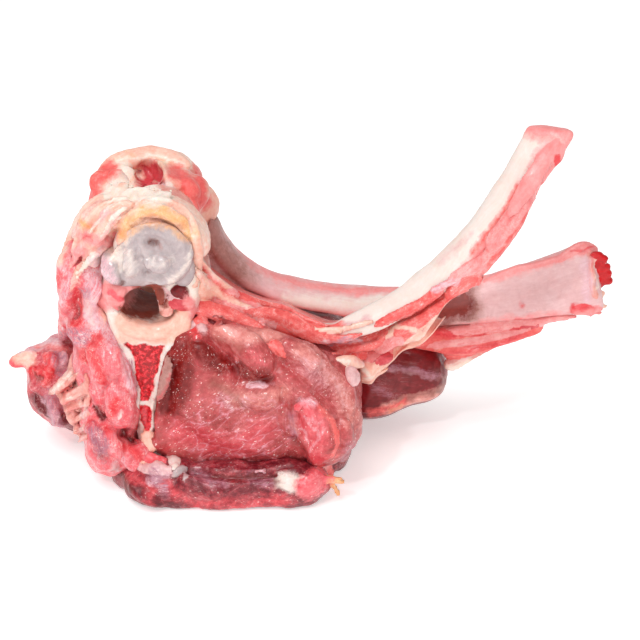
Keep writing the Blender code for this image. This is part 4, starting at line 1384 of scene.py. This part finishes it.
# %% The eye muscle
skin(
    "eye_muscle", "loin_eye",
    flesh("eye", bump=0.45, wet=1.0, veins=0.1, painted_glints=1.0, varied=0.85, fray=0.6, hairy=0.2,
          bundles=0.75),
    voxel=0.65, relax=12, grow=0.25, grain=(1, 0, 0.75), stretch=4.0, bend=0.7, relief=eye_relief,
    pressed=(5.0, area([(118, 338), (174, 338), (167, 353), (162, 366), (158, 380), (156, 394),
                        (155, 408), (154, 422), (154, 436), (134, 442), (134, 400)], 1.5)),
    strands=[
        ("", [(214, 328, 16), (232, 333, 26), (250, 348, 30), (262, 364, 26), (262, 377, 14)],
         1.2, 0.6),
        ("", [(294, 396, 14), (308, 404, 24), (318, 420, 32), (323, 440, 30), (318, 458, 20)],
         0.3, 0.55),
        ("", [(302, 430, 16), (312, 446, 22), (316, 462, 16)], 0.9, 0.5),
        ("", [(286, 404, 12), (290, 420, 18), (298, 436, 14)], 0.5, 0.5),
        ("pink", [(294, 410, 6), (303, 402, 9), (314, 405, 8), (322, 414, 5)], 1.4, 0.5),
        ("salmon", [(324, 412, 6), (331, 424, 9), (335, 440, 9), (331, 456, 6)], 0.9, 0.5),
        ("film", [(304, 416, 2), (310, 424, 4), (317, 430, 3), (321, 438, 2)], 1.5, 0.5),
        ("film", [(298, 422, 2), (306, 430, 3), (308, 440, 2)], 1.2, 0.5),
        ("lobe", [(306, 452, 6), (318, 450, 10), (330, 456, 8)], 1.4, 0.5),
        ("salmon", [(316, 462, 7), (326, 466, 9), (332, 474, 4)], 0.9, 0.5),
        ("salmon", [(268, 344, 7), (277, 348, 11), (285, 357, 6)], 0.7, 0.5),
        ("", [(282, 346, 16), (300, 352, 20), (318, 366, 20)], 0.4, 0.5),
        ("", [(276, 372, 14), (294, 384, 20), (310, 394, 16)], 0.4, 0.5),
        ("film", [(247, 386, 5), (256, 383, 7), (266, 386, 5)], 0.3, 0.4),
        ("", [(192, 336, 14), (200, 350, 20), (206, 366, 16)], 0.4, 0.5),
        ("rosy", [(195, 320, 4), (200, 326, 6), (205, 331, 4)], 0.4, 0.5),
        ("film", [(236, 362, 3), (239, 370, 4), (241, 380, 2)], 0.6, 0.5),
        ("film", [(250, 471, 3), (264, 471, 5), (278, 466, 4), (286, 462, 2)], 0.4, 0.4),
        ("", [(240, 398, 10), (262, 404, 14), (276, 398, 8)], 0.4, 0.5),
        ("", [(230, 312, 8), (246, 318, 12), (262, 322, 8)], 0.6, 0.5),
        ("", [(340, 420, 12), (346, 440, 16), (342, 460, 12)], 0.4, 0.5),
    ],
    dents=[
        (-2.0, line([(180, 350), (172, 372), (168, 392), (164, 412)], 6, 6)),
        (-2.6, line([(206, 316), (216, 321), (228, 318), (240, 312)], 3, 3)),
        (-2.8, line([(228, 358), (234, 368), (237, 378)], 3, 3)),
        (-1.5, line([(238, 381), (256, 381), (272, 378)], 2, 3)),
        (-1.6, line([(210, 336), (222, 350), (230, 360)], 1.5, 2.5)),
        (-1.2, line([(268, 340), (262, 336), (284, 364)], 1.5, 2.5)),
        (-1.5, line([(282, 390), (284, 410), (292, 432), (304, 452), (310, 466)], 2, 3)),
        (-1.6, line([(184, 466), (230, 476), (262, 477)], 2, 2.5)),
        (-1.4, line([(300, 398), (292, 412), (296, 430)], 1.5, 2)),
        (-1.0, line([(324, 420), (318, 434), (306, 446)], 1, 2)),
        (-0.8, line([(330, 396), (340, 424), (338, 452)], 2, 3)),
        (-1.0, line([(188, 340), (214, 342), (224, 356), (222, 376)], 1.5, 3)),
    ],
    marks=[
        (SEAMS, area([(166, 428), (196, 400), (236, 392), (286, 400), (290, 440), (272, 462),
                      (200, 462)], 8), 1),
        ("lobe", everywhere, 0.36),
        # Painted shade: the deep marks darken the left of the eye, where it lies back beside the
        # spine, and the folds round the tongue of flesh and the plug.
        ("deep", line([(178, 352), (180, 380), (170, 402)], 17, 14), 1),
        ("deep", line([(196, 346), (212, 358), (222, 366)], 10, 11), 1),
        ("deep", line([(238, 368), (252, 377), (266, 376)], 7, 6), 1),
        ("deep", line([(272, 352), (290, 366)], 3, 5), 0.7),
        ("deep", line([(286, 396), (288, 420), (300, 446)], 2, 5), 0.8),
        # Painted highlight: the first pale mark lightens the top of the tongue of flesh.
        ("pale", line([(220, 330), (246, 336), (276, 336)], 8, 9), 0.95),
        ("pale", line([(232, 394), (262, 400), (284, 392)], 8, 10), 0.8),
        ("pale", line([(300, 350), (324, 366), (344, 394), (350, 420)], 9, 10), 0.8),
        ("pale", line([(240, 428), (262, 432)], 6, 9), 0.6),
        ("film", line([(252, 385), (274, 384)], 1.5, 5), 0.7),
        ("film", line([(252, 472), (286, 464)], 2, 2.5), 0.8),
        ("film", area([(280, 345), (330, 350), (352, 392), (352, 440), (330, 400),
                       (300, 384)], 12), 0.42),
        ("veil", line([(351, 444), (342, 460)], 4, 7), 0.8),
        # Painted shade: dark red in the fold along the top and in the fold under the tongue of
        # flesh.
        ("clot", line([(206, 316), (216, 321), (230, 318)], 3, 3), 0.7),
        ("clot", line([(228, 362), (236, 376)], 3, 3), 0.7),
        ("lobe", line([(306, 416), (318, 440), (316, 456)], 14, 12), 0.85),
        ("pink", line([(306, 406), (318, 416), (322, 432)], 6, 8), 0.75),
        ("salmon", line([(318, 404), (330, 420), (337, 442), (334, 458)], 2, 6), 0.9),
        ("red", line([(331, 446)], 2, 4), 0.8),
        ("film", line([(300, 400), (312, 404)], 4, 6), 0.8),
        ("film", line([(304, 416), (311, 424), (318, 431), (321, 439)], 0.8, 3), 1),
        ("film", line([(297, 424), (305, 431), (308, 441)], 0.8, 3), 0.9),
        ("film", line([(312, 418), (318, 421)], 2, 5), 0.8),
        ("veil", line([(290, 414), (294, 434)], 4, 7), 0.75),
        ("pale", line([(290, 420), (296, 430)], 4, 7), 0.7),
        ("pink", line([(206, 450), (240, 456), (270, 450)], 3, 10), 0.62),
        ("film", line([(200, 460), (240, 468), (284, 464)], 3, 7), 0.8),
        ("veil", line([(214, 466), (236, 472)], 3, 6), 0.7),
        ("pink", line([(308, 404), (314, 412)], 6, 6), 0.6),
        ("film", line([(308, 452), (320, 440), (324, 430)], 1.5, 3), 0.7),
        ("soft", line([(270, 345), (280, 348)], 1, 4), 0.8),
        ("pink", line([(250, 352), (262, 364)], 4, 5), 0.6),
        ("lobe", line([(180, 432), (230, 448), (262, 430)], 18, 14), 0.75),
        ("film", line([(222, 396), (234, 410)], 5, 6), 0.6),
        ("red", line([(186, 312), (196, 330)], 7, 8), 0.9),
        ("rosy", line([(198, 320), (204, 332)], 4, 6), 0.8),
        ("red", line([(230, 312), (262, 322)], 6, 7), 0.9),
        ("tan", line([(220, 340), (240, 348)], 6, 10), 0.6),
        # Painted shade under the tongue of flesh.
        ("deep", line([(242, 352), (254, 362), (262, 372)], 4, 10), 0.66),
        ("tan", line([(214, 384), (232, 392), (244, 404)], 9, 10), 0.6),
    ],
)

# %% [markdown]
# Under the eye lies the cap, the muscle that the piece rests on. It is a long strip, mauve where
# its membrane is left on, with shreds of sinew and a white patch of torn fat. Its weight could
# be simulated as cloth, but its solid is already pressed flat, so the skin only keeps it so.

# %% The cap muscle
skin(
    "cap", "cap_muscle",
    flesh("mauve", bump=0.5, streaks=0.15, wet=0.8, veins=0.1, painted_glints=0.5, fray=0.7, hairy=0.5,
          rough_at=0.32),
    voxel=0.7, relax=12, grow=0.25, grain=(1, 0, 0.2), stretch=4.0,
    relief=lambda p, c: 0.7 * rough(p, 8.0, 81) + 0.3 * ridged(c, 2.8, 83),
    strands=[
        ("bone", [(150, 457, 5), (158, 452, 8), (168, 454, 9), (175, 461, 8), (174, 469, 5)],
         1.8, 0.45),
        ("rosy", [(154, 463, 6), (163, 467, 8), (172, 472, 6)], 1.6, 0.45),
        ("grey", [(172, 478, 3), (178, 471, 6), (185, 467, 6), (188, 474, 5), (184, 481, 3)],
         1.4, 0.35),
        ("rosy", [(138, 466, 5), (148, 468, 8), (158, 470, 7), (164, 474, 4)], 1.2, 0.5),
        ("fat", [(136, 466, 4), (141, 463, 7), (146, 466, 4)], 1.8, 0.6),
        ("pink", [(144, 454, 8), (154, 459, 12), (164, 463, 9)], 1.0, 0.5, None),
        ("", [(294, 490, 12), (308, 482, 20), (321, 474, 16)], 0.2, 0.45),
        ("gold", [(322, 478, 8), (332, 480, 9), (346, 481, 3)], 0.6, 0.5),
        ("gold", [(330, 480, 7), (335, 487, 5), (339, 495, 2)], 0.6, 0.5),
        ("", [(130, 484, 12), (144, 496, 16), (164, 503, 12)], 0.6, 0.5),
        ("", [(180, 480, 14), (200, 488, 18), (222, 492, 14)], 0.5, 0.5),
    ],
    dents=[
        (-1.8, line([(188, 471), (214, 476), (246, 478), (274, 476)], 3, 3)),
        (-1.0, line([(132, 478), (142, 490)], 2, 3)),
        (0.5, line([(283, 480), (298, 486)], 6, 3)),
        (-0.8, line([(304, 472), (300, 484), (294, 492)], 1.5, 2.5)),
    ],
    marks=[
        ("lobe", everywhere, 0.3),
        # Painted reflection: this veil mark and the film mark below paint a purple-white sheen on
        # the left end.
        ("veil", line([(154, 474), (164, 488)], 7, 7), 1),
        ("lobe", line([(130, 476), (142, 482), (152, 490)], 6, 7), 0.8),
        ("lobe", line([(132, 474), (146, 484), (150, 500)], 6, 9), 0.75),
        ("film", line([(150, 482), (166, 476)], 4, 4), 0.9),
        ("veil", line([(196, 474), (222, 484)], 7, 7), 0.7),
        ("veil", line([(250, 478), (270, 482)], 6, 6), 0.8),
        ("bone", line([(282, 480), (297, 484)], 9, 6), 1),
        # Painted shadow under the eye's overhanging edge: a dark red line in the crease and a dark
        # band below it.
        ("clot", line([(212, 474), (246, 478), (276, 474)], 3, 3), 0.8),
        ("dark", line([(190, 474), (276, 482)], 5, 7), 0.7),
        ("lobe", line([(166, 484), (190, 500), (240, 504), (288, 500)], 9, 9), 0.7),
        ("pink", line([(306, 488), (322, 474)], 11, 7), 0.95),
        ("dark", line([(210, 500), (240, 502)], 5, 6), 0.6),
        ("shade", line([(122, 474), (132, 488)], 4, 5), 0.7),
    ],
)

# %% [markdown]
# A rib is smooth creamy bone on its inner face, where the membrane was stripped off, and keeps
# a rim of red flesh along its edges. Its faint grain could be drawn straight along x, but a rib
# bows, so its grain follows a line of places along it. The near one was sawn off level.

# %% The near rib
NEAR_RIB = [(190, 280, 8), (240, 305, 9), (300, 322, 10), (345, 325, 10), (400, 298, 10),
            (450, 255, 10), (500, 195, 10), (552, 125, 10)]
RIB_TOP = [(190, 280), (215, 290), (240, 302), (262, 309), (290, 316), (310, 322), (332, 325),
           (345, 318), (365, 307), (382, 298), (400, 287), (420, 268), (440, 247), (462, 225),
           (480, 199), (500, 165), (522, 129), (530, 122)]
skin(
    "rib_near", "rib_front",
    flesh("bone", bump=0.12, wet=0.5, varied=0.6, fray=0.5, rough_at=0.40),
    voxel=0.6, relax=16, grow=0.25, follow=NEAR_RIB, stretch=8.0, trims=[(RIB_TOP, 1)],
    relief=lambda p, c: 0.2 * rough(p, 12.0, 91) + 0.08 * ridged(c, 3.0, 93),
    strands=[
        ("soft", [(558, 140, 6), (546, 158, 15), (534, 176, 18), (521, 197, 16), (508, 218, 8)],
         0.3, 0.3, None),
    ],
    dents=[
        (0.7, line([(548, 186), (524, 216), (500, 246), (476, 266)], 6, 4)),
        (-0.5, line([(530, 196), (508, 226), (484, 252)], 1.5, 2)),
        (0.6, line([(559, 156), (562, 166)], 5, 4)),
        (-0.4, line([(520, 148), (490, 196), (450, 246)], 8, 8)),
    ],
    marks=[
        ("soft", area([(520, 134), (528, 120), (572, 120), (578, 136), (566, 160), (556, 142),
                       (536, 142)], 11), 0.9),
        ("soft", area([(560, 136), (574, 146), (548, 190), (526, 220), (500, 254), (476, 274),
                       (452, 280), (474, 250), (498, 216), (518, 186), (538, 152)], 9), 0.9),
        ("salmon", line([(518, 188), (498, 220), (472, 254)], 3, 5), 0.9),
        ("lobe", line([(500, 220), (478, 250)], 1, 4), 0.9),
        ("rosy", line([(526, 194), (508, 226), (488, 252)], 2, 5), 0.9),
        ("salmon", line([(552, 176), (530, 212), (506, 244), (488, 262)], 3, 6), 0.9),
        ("rosy", line([(532, 168), (546, 142)], 4, 7), 0.8),
        ("red", line([(555, 158), (560, 166)], 6, 5), 1),
        ("clot", line([(559, 166)], 2, 4), 0.7),
        ("rosy", line([(440, 262), (470, 236)], 5, 6), 0.6),
        ("fat", line([(462, 214), (492, 176)], 8, 10), 0.55),
        ("rosy", line([(326, 328), (350, 326), (368, 320)], 4, 4), 0.9),
        ("salmon", line([(190, 280), (240, 310), (300, 328), (330, 332)], 14, 8), 1),
    ],
)

# %% [markdown]
# The far rib was snapped, not sawn, so it ends in splinters with a plug of red marrow pushed
# out. A rough noise would only make that end lumpy. Short strands make it: three cream
# splinters below, and nine small beads of marrow from one list of numbers.

# %% The far rib
FAR_RIB = [(205, 200, 40), (212, 236, 40), (236, 272, 40), (280, 298, 40), (350, 306, 40),
           (440, 310, 40), (520, 300, 40), (605, 280, 40)]
BEADS = [(599, 255, 6), (604, 259, 7), (600, 264, 7), (607, 267, 6), (602, 271, 8),
         (608, 274, 7), (602, 279, 8), (609, 281, 7), (600, 285, 5)]
skin(
    "rib_far", "rib_rear",
    flesh("rosy", bump=0.12, wet=0.4, varied=0.6, fray=0.5, rough_at=0.38),
    voxel=0.6, relax=10, grow=0.2, follow=FAR_RIB, stretch=8.0,
    relief=lambda p, c: 0.25 * rough(p, 12.0, 101) + 0.08 * ridged(c, 3.0, 103),
    strands=[
        ("blush", [(586, 247, 5), (592, 256, 7), (591, 266, 4), (593, 276, 6), (592, 286, 4),
                   (596, 298, 6)], 0.6, 0.4),
        *(("plug", [(u - 8, v, w, 44), (u, v, w + 1, 44), (u + 3, v + 1, w - 1, 44)], 0.0, 0.9)
          for u, v, w in BEADS),
        ("fat", [(586, 300, 10, 42), (597, 297, 9, 42), (605, 292, 4, 42)], 0.0, 0.6),
        ("fat", [(586, 305, 10, 42), (598, 305, 8, 42), (608, 307, 3, 42)], 0.0, 0.6),
        ("fat", [(584, 312, 10, 42), (595, 311, 8, 42), (602, 314, 3, 42)], 0.0, 0.6),
        ("", [(206, 238, 12, 40), (213, 262, 17, 40), (230, 280, 14, 40), (250, 296, 10, 40)],
         0.0, 0.6),
        ("soft", [(556, 262, 5), (570, 252, 9), (584, 246, 11), (598, 252, 9)], 0.2, 0.5),
        ("soft", [(484, 282, 4), (512, 270, 6), (540, 264, 6), (560, 258, 5)], 0.0, 0.5),
        ("red", [(572, 312, 8), (584, 310, 10), (594, 314, 7)], 0.3, 0.5),
    ],
    marks=[
        ("soft", line([(216, 200), (232, 240), (262, 270), (292, 284)], 4, 8), 1),
        ("soft", line([(288, 281), (320, 287), (360, 293), (400, 290)], 3, 8), 1),
        ("salmon", line([(276, 277), (300, 284), (340, 289), (390, 290)], 2, 6), 0.85),
        ("gold", line([(214, 214), (230, 238)], 3, 4), 0.6),
        ("soft", line([(484, 280), (520, 270), (566, 256), (600, 244)], 4, 8), 1),
        ("red", line([(572, 250), (594, 247)], 4, 6), 0.9),
        ("red", line([(576, 308), (596, 312)], 5, 5), 1),
        ("red", line([(590, 256), (594, 272)], 2, 4), 0.7),
        ("soft", line([(456, 328), (520, 320), (570, 316), (596, 312)], 4, 8), 1),
        ("shade", line([(460, 318), (560, 308)], 3, 5), 0.35),
        ("red", line([(518, 318), (528, 322)], 3, 3), 0.9),
        ("red", line([(521, 305)], 3, 3), 0.6),
        # Painted shade: the umber and brown marks darken the rib near its root beside the backbone,
        # and paint the shadow that the near rib's flesh casts on it further right.
        ("umber", line([(204, 212), (210, 236), (218, 250)], 11, 14), 1),
        ("brown", line([(204, 200), (216, 244), (236, 274)], 16, 26), 1),
        ("brown", area([(434, 300), (476, 286), (482, 306), (478, 322), (434, 334)], 14), 0.95),
        ("umber", area([(434, 302), (470, 288), (474, 304), (468, 318), (434, 326)], 9), 1),
        ("cream", line([(594, 262), (597, 290)], 1, 3), 0.8),
        ("bone", line([(288, 300), (330, 306), (396, 302)], 8, 9), 0.95),
        ("film", line([(586, 262), (588, 296)], 5, 5), 0.9),
    ],
)

# %% [markdown]
# Along the near rib run flat muscles with bands of cream sinew. Where the ribs part, the knife
# left them in ragged lobes of red flesh and soft fat. The bands could be marks alone, but laid
# as strands they overlap and cast fine shadows. One border holds the flesh to the rib's edge,
# and another trims the ragged end below.

# %% Flesh along the near rib
FLESH_TOP = [(196, 252), (204, 262), (216, 275), (236, 289), (262, 300), (285, 305), (300, 313),
             (320, 322), (334, 326), (350, 322), (366, 314), (400, 296), (440, 268), (470, 248),
             (520, 196)]
FLESH_BELOW = [(426, 333), (436, 318), (443, 306), (451, 298), (464, 292), (478, 288), (484, 274)]
skin(
    "rib_flesh_near", "rib_lean_front",
    flesh("salmon", bump=0.45, streaks=0.4, wet=0.9, veins=0.4, painted_glints=0.4, fray=0.7, hairy=0.8,
          rough_at=0.32),
    voxel=0.6, relax=18, settle=7, grow=0.25, follow=NEAR_RIB, stretch=5.0,
    trims=[(FLESH_TOP, 1), (FLESH_BELOW, -1)],
    relief=lambda p, c: 0.4 * rough(p, 6.0, 111) + 0.3 * ridged(c, 2.6, 113),
    strands=[
        ("fat", [(198, 256, 6), (207, 268, 9), (218, 280, 10), (232, 291, 7)], 0.6, 0.5, None),
        ("soft", [(200, 262, 7), (210, 278, 10), (224, 289, 11), (240, 296, 8)],
         0.2, 0.5, "rib_front"),
        ("soft", [(188, 292, 20, 5), (206, 298, 28, 8), (230, 306, 28, 8), (258, 316, 22, 8),
                  (286, 325, 14, 9)], -0.6, 0.35),
        ("salmon", [(186, 304, 12, 3), (204, 308, 16, 4), (226, 315, 18, 4), (246, 323, 14, 3),
                    (264, 330, 8, 1)], 0.0, 0.6),
        ("lobe", [(186, 312, 22, 4), (206, 318, 26, 6), (226, 322, 24, 6), (246, 328, 18, 6)],
         -0.5, 0.5),
        ("rosy", [(182, 320, 9, 1), (192, 330, 13, 0), (188, 342, 8, -1)], 0.0, 0.6),
        ("salmon", [(196, 318, 10, 2), (206, 328, 13, 0), (214, 334, 8, 0)], 0.0, 0.6),
        ("fat", [(196, 268, 5), (205, 282, 9), (220, 293, 11), (238, 303, 9), (256, 309, 5)],
         0.6, 0.5, None),
        ("fat", [(198, 286, 10), (206, 295, 15), (218, 300, 9)], 0.3, 0.5, None),
        ("salmon", [(228, 290, 8), (246, 297, 13), (266, 303, 14), (288, 309, 14), (308, 318, 11),
                    (330, 326, 5)], 0.3, 0.4, "rib_front"),
        ("salmon", [(240, 310, 9), (262, 314, 16), (284, 319, 18), (302, 328, 18), (318, 337, 14),
                    (342, 339, 10), (364, 333, 6)], 0.5, 0.4, "rib_front"),
        ("soft", [(206, 304, 10), (222, 310, 13), (244, 319, 12), (264, 326, 7)], 0.2, 0.5, None),
        ("fat", [(306, 327, 3), (320, 330, 5), (340, 330, 5), (358, 325, 6), (374, 321, 4)],
         0.7, 0.4, "rib_front"),
        ("salmon", [(312, 340, 8), (330, 346, 13), (352, 346, 14), (376, 341, 12), (390, 332, 8)],
         0.3, 0.5, None),
        # A low ridge along the lower band, its lilac-white colour a painted highlight.
        ("film", [(322, 344, 3), (342, 340, 5), (362, 340, 3)], 1.2, 0.4, None),
        ("salmon", [(330, 354, 8), (352, 356, 13), (374, 350, 12), (388, 342, 8)], 0.3, 0.5, None),
        ("salmon", [(374, 326, 8), (398, 315, 11), (422, 303, 11), (444, 286, 9)], 0.5, 0.45, None),
        ("salmon", [(390, 334, 8), (416, 320, 13), (444, 305, 13), (468, 290, 10)],
         0.4, 0.45, None),
        # A low ridge on the band under the rib, its lilac-white colour a painted highlight.
        ("film", [(430, 290, 5), (446, 284, 7), (460, 280, 4)], 1.3, 0.4, None),
        ("salmon", [(444, 298, 8), (460, 286, 14), (474, 279, 14), (481, 285, 6, 8.4)],
         0.4, 0.5, None),
        ("soft", [(450, 280, 8), (472, 266, 12), (488, 254, 9)], 0.0, 0.5, None),
        ("fat", [(386, 338, 4), (396, 330, 8), (408, 326, 7), (416, 332, 3)], 0.7, 0.4, None),
        ("fat", [(398, 344, 5, 14), (410, 338, 8, 13), (420, 332, 6, 12)], 0.3, 0.5),
        ("fat", [(412, 342, 5, 13), (421, 332, 9, 12), (431, 320, 10, 10), (441, 308, 4, 9)],
         0.3, 0.4),
        ("blush", [(422, 332, 4, 11), (432, 319, 6, 9.5), (442, 306, 3, 9)], 0.8, 0.4),
        ("soft", [(376, 352, 8), (386, 346, 12), (396, 340, 10), (402, 344, 5)], 0.6, 0.5, None),
    ],
    dents=[
        (-1.0, line([(236, 298), (262, 309), (290, 314), (306, 326)], 1.5, 2)),
        (-1.2, line([(318, 346), (344, 345), (376, 338)], 1.5, 2)),
        (-1.0, line([(392, 324), (420, 311), (448, 294)], 1.5, 2)),
        (-1.3, line([(544, 160), (528, 184)], 12, 8)),
        (-0.6, line([(526, 192), (506, 222), (482, 254)], 1.5, 2)),
    ],
    marks=[
        ("film", everywhere, 0.22),
        ("soft", area([(556, 150), (560, 176), (534, 216), (506, 252), (480, 276), (460, 272),
                       (476, 244), (500, 212), (522, 176), (536, 152)], 7), 1),
        ("rosy", line([(528, 194), (508, 226), (486, 254)], 2.5, 6), 0.9),
        ("salmon", line([(516, 196), (498, 222), (476, 256)], 3, 5), 0.9),
        ("lobe", line([(502, 222), (480, 254)], 1, 4), 0.9),
        ("salmon", line([(546, 184), (528, 214), (506, 244), (488, 264)], 4, 6), 0.95),
        ("red", line([(512, 240), (494, 262)], 1.5, 5), 0.8),
        # Painted highlights: lilac-white film and veil marks along the two bands.
        ("film", line([(322, 343), (364, 340)], 2, 3), 0.9),
        ("veil", line([(330, 342), (350, 340)], 3, 3), 0.8),
        ("film", line([(436, 288), (456, 282)], 4, 4), 0.9),
        ("clot", line([(214, 318), (224, 320)], 3, 3), 0.8),
        ("clot", line([(396, 330), (402, 326)], 2, 3), 0.7),
        ("fat", line([(396, 326), (414, 328)], 4, 4), 0.9),
        ("red", line([(290, 322), (314, 338), (350, 334)], 3, 5), 0.8),
        ("fat", line([(420, 340), (444, 312)], 4, 4), 0.9),
        ("salmon", line([(203, 268), (214, 282), (230, 294), (244, 300)], 2, 5), 1),
        ("cream", line([(198, 272), (210, 288), (226, 301), (250, 309)], 2, 5), 1),
        ("cream", line([(200, 262), (214, 276), (226, 286)], 1, 4), 0.9),
        ("red", line([(206, 298), (232, 308)], 2, 6), 0.8),
    ],
)

# %% [markdown]
# Along the far rib hang thin sheets of flesh, one behind the other. They could be one slab with
# stripes, but sheets at their own depths part at the ends, as thin muscle does when it dries.

# %% Flesh along the far rib
skin(
    "rib_flesh_far", "rib_lean_rear",
    flesh("salmon", bump=0.4, streaks=0.4, wet=0.6, fray=0.5, rough_at=0.32),
    voxel=0.65, relax=10, grow=0.2, grain=(1, 0, 0.15), stretch=6.0,
    relief=lambda p, c: 0.3 * rough(p, 7.0, 121) + 0.3 * ridged(c, 2.4, 123),
    strands=[
        ("soft", [(428, 346, 5), (468, 342, 5), (500, 336, 5), (530, 329, 3)], 0.0, 0.45),
        ("soft", [(446, 332, 8), (484, 328, 10), (516, 325, 9), (550, 321, 5)], 0.0, 0.6),
        ("soft", [(470, 323, 7, 40), (500, 321, 8, 40), (530, 320, 8, 40), (556, 318, 7, 40),
                  (578, 316, 4, 40)], 0.0, 0.6),
        ("lobe", [(490, 328, 8, 40), (520, 325, 9, 40), (542, 322, 6, 40)], 0.0, 0.6),
        ("salmon", [(444, 350, 14, 40), (460, 352, 17, 40), (484, 346, 12, 40), (512, 337, 5, 40)],
         0.0, 0.5),
        ("blush", [(444, 365, 9, 39), (454, 364, 13, 39), (468, 358, 9, 39), (488, 349, 4, 39)],
         0.0, 0.5),
    ],
    marks=[
        ("red", line([(436, 334), (480, 334), (520, 328)], 3, 4), 0.8),
        ("fat", line([(436, 345), (474, 341)], 1.5, 5), 0.9),
        ("gold", line([(440, 344), (466, 341)], 1, 4), 0.7),
        ("red", line([(438, 334), (454, 335)], 3, 4), 1),
        ("clot", line([(438, 334), (446, 335)], 1, 4), 0.7),
        # Painted shade under the far rib's lower edge.
        ("brown", line([(484, 325), (524, 321)], 2, 6), 0.62),
        ("red", line([(452, 354), (500, 344), (524, 334)], 4, 6), 0.8),
        ("brown", line([(440, 328), (480, 324)], 3, 7), 0.9),
        ("cream", line([(440, 372), (468, 362)], 4, 5), 1),
        ("rosy", line([(446, 362), (470, 355)], 2, 5), 0.7),
    ],
)

# %% [markdown]
# Behind the eye the end of the flank is dark, older-looking meat with grey bands of membrane.
# Its lower edge rises away to the right. Dents could shape it, but one border of pixels moves
# the whole edge to where it is seen.

# %% The flank
FLANK_BELOW = [(355, 419), (380, 416), (396, 411), (412, 403), (430, 399), (444, 391), (456, 372)]
skin(
    "flank", "flank_lean",
    flesh("dark", bump=0.4, streaks=0.2, wet=0.6, varied=0.8, fray=0.5),
    voxel=0.75, relax=12, grow=0.2, grain=(1, 0, -0.15), stretch=6.0, trims=[(FLANK_BELOW, -1)],
    relief=lambda p, c: 0.6 * rough(p, 9.0, 131) + 0.25 * ridged(c, 2.8, 133),
    marks=[
        ("tan", line([(384, 369), (412, 372), (444, 378)], 3, 4), 0.7),
        ("veil", line([(384, 368), (412, 371), (436, 376)], 3, 4), 1),
        ("rosy", line([(390, 370), (420, 374)], 0.8, 4), 0.8),
        ("lobe", line([(400, 382), (446, 388)], 3, 6), 0.45),
        ("tan", line([(400, 402), (420, 399), (446, 388)], 5, 5), 0.95),
        ("blush", line([(386, 408), (412, 402), (436, 395)], 5, 8), 1),
        ("salmon", line([(370, 412), (392, 408), (404, 400)], 4, 5), 0.8),
        ("gold", line([(390, 410), (402, 404)], 3, 4), 0.7),
        ("veil", line([(372, 386), (388, 392)], 4, 6), 0.6),
        ("lobe", line([(440, 345), (446, 376)], 3, 5), 0.5),
    ],
)

# %% [markdown]
# Soft cream fat in rounded lobes fills the corner between the eye and the flank. Spheres joined
# together would look like beads. Short wide strands overlap, and shallow cells carve the
# lobules into them.

# %% Fat lobes of the flank
FAT_BELOW = [(330, 364), (342, 373), (348, 384), (356, 388), (361, 380), (371, 380), (377, 371),
             (386, 366), (394, 358), (399, 351), (406, 346), (420, 344), (432, 332), (446, 314),
             (470, 300)]
skin(
    "flank_fat_lobes", "flank_fat",
    flesh("fat", bump=0.3, wet=0.4, fray=0.6, rough_at=0.42),
    voxel=0.55, relax=8, grow=0.15, grain=(1, 0, -0.5), trims=[(FAT_BELOW, -1)],
    relief=lambda p, c: 0.35 * rough(p, 5.0, 141) - 0.3 * cells(p, 4.0, 143),
    strands=[
        ("fat", [(335, 359, 6, 4), (344, 361, 13, 5), (354, 362, 15, 7), (364, 364, 11, 12)],
         0.0, 0.5),
        ("fat", [(343, 363, 11, 4), (343, 369, 8, 4), (342, 373, 4, 3)], 0.4, 0.6),
        ("rosy", [(350, 366, 12, 3), (353, 376, 18, -0.3), (356, 385, 13, -0.3)], 0.0, 0.6),
        ("fat", [(362, 364, 12), (367, 371, 14), (367, 377, 9)], 0.5, 0.6),
        ("fat", [(374, 362, 10), (376, 368, 9)], 0.5, 0.6),
        ("soft", [(360, 354, 9), (372, 356, 13), (384, 348, 12), (390, 340, 8)], 0.6, 0.6),
        ("soft", [(386, 340, 9), (388, 348, 11), (392, 352, 6)], 0.8, 0.6),
        ("lobe", [(374, 364, 6), (382, 359, 12), (392, 355, 9)], 1.0, 0.6),
        ("fat", [(412, 326, 8), (402, 338, 12), (394, 348, 8)], 0.8, 0.6),
    ],
    marks=[
        ("cream", line([(338, 360), (350, 360), (343, 370)], 4, 6), 0.95),
        ("cream", line([(364, 368), (370, 376)], 5, 6), 0.9),
        ("cream", line([(352, 380), (355, 386)], 3, 6), 0.7),
        ("cream", line([(402, 338), (412, 330)], 4, 6), 0.7),
        # Painted shade: a thin tan line in the crease between two lobes.
        ("tan", line([(348, 370), (354, 372), (360, 376)], 0.6, 3), 0.6),
        ("rosy", line([(360, 362), (374, 360)], 3, 6), 0.8),
        ("salmon", line([(394, 344), (402, 342)], 4, 5), 0.9),
    ],
)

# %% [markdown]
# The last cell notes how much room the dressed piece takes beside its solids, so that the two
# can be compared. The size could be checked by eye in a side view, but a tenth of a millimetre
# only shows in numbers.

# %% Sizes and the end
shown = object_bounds()
grown = [1000 * (shown[k][axis] - CAD_BOX[k][axis]) for k in (0, 1) for axis in range(3)]
print("beyond the solids, mm:", [round(g, 2) for g in grown])
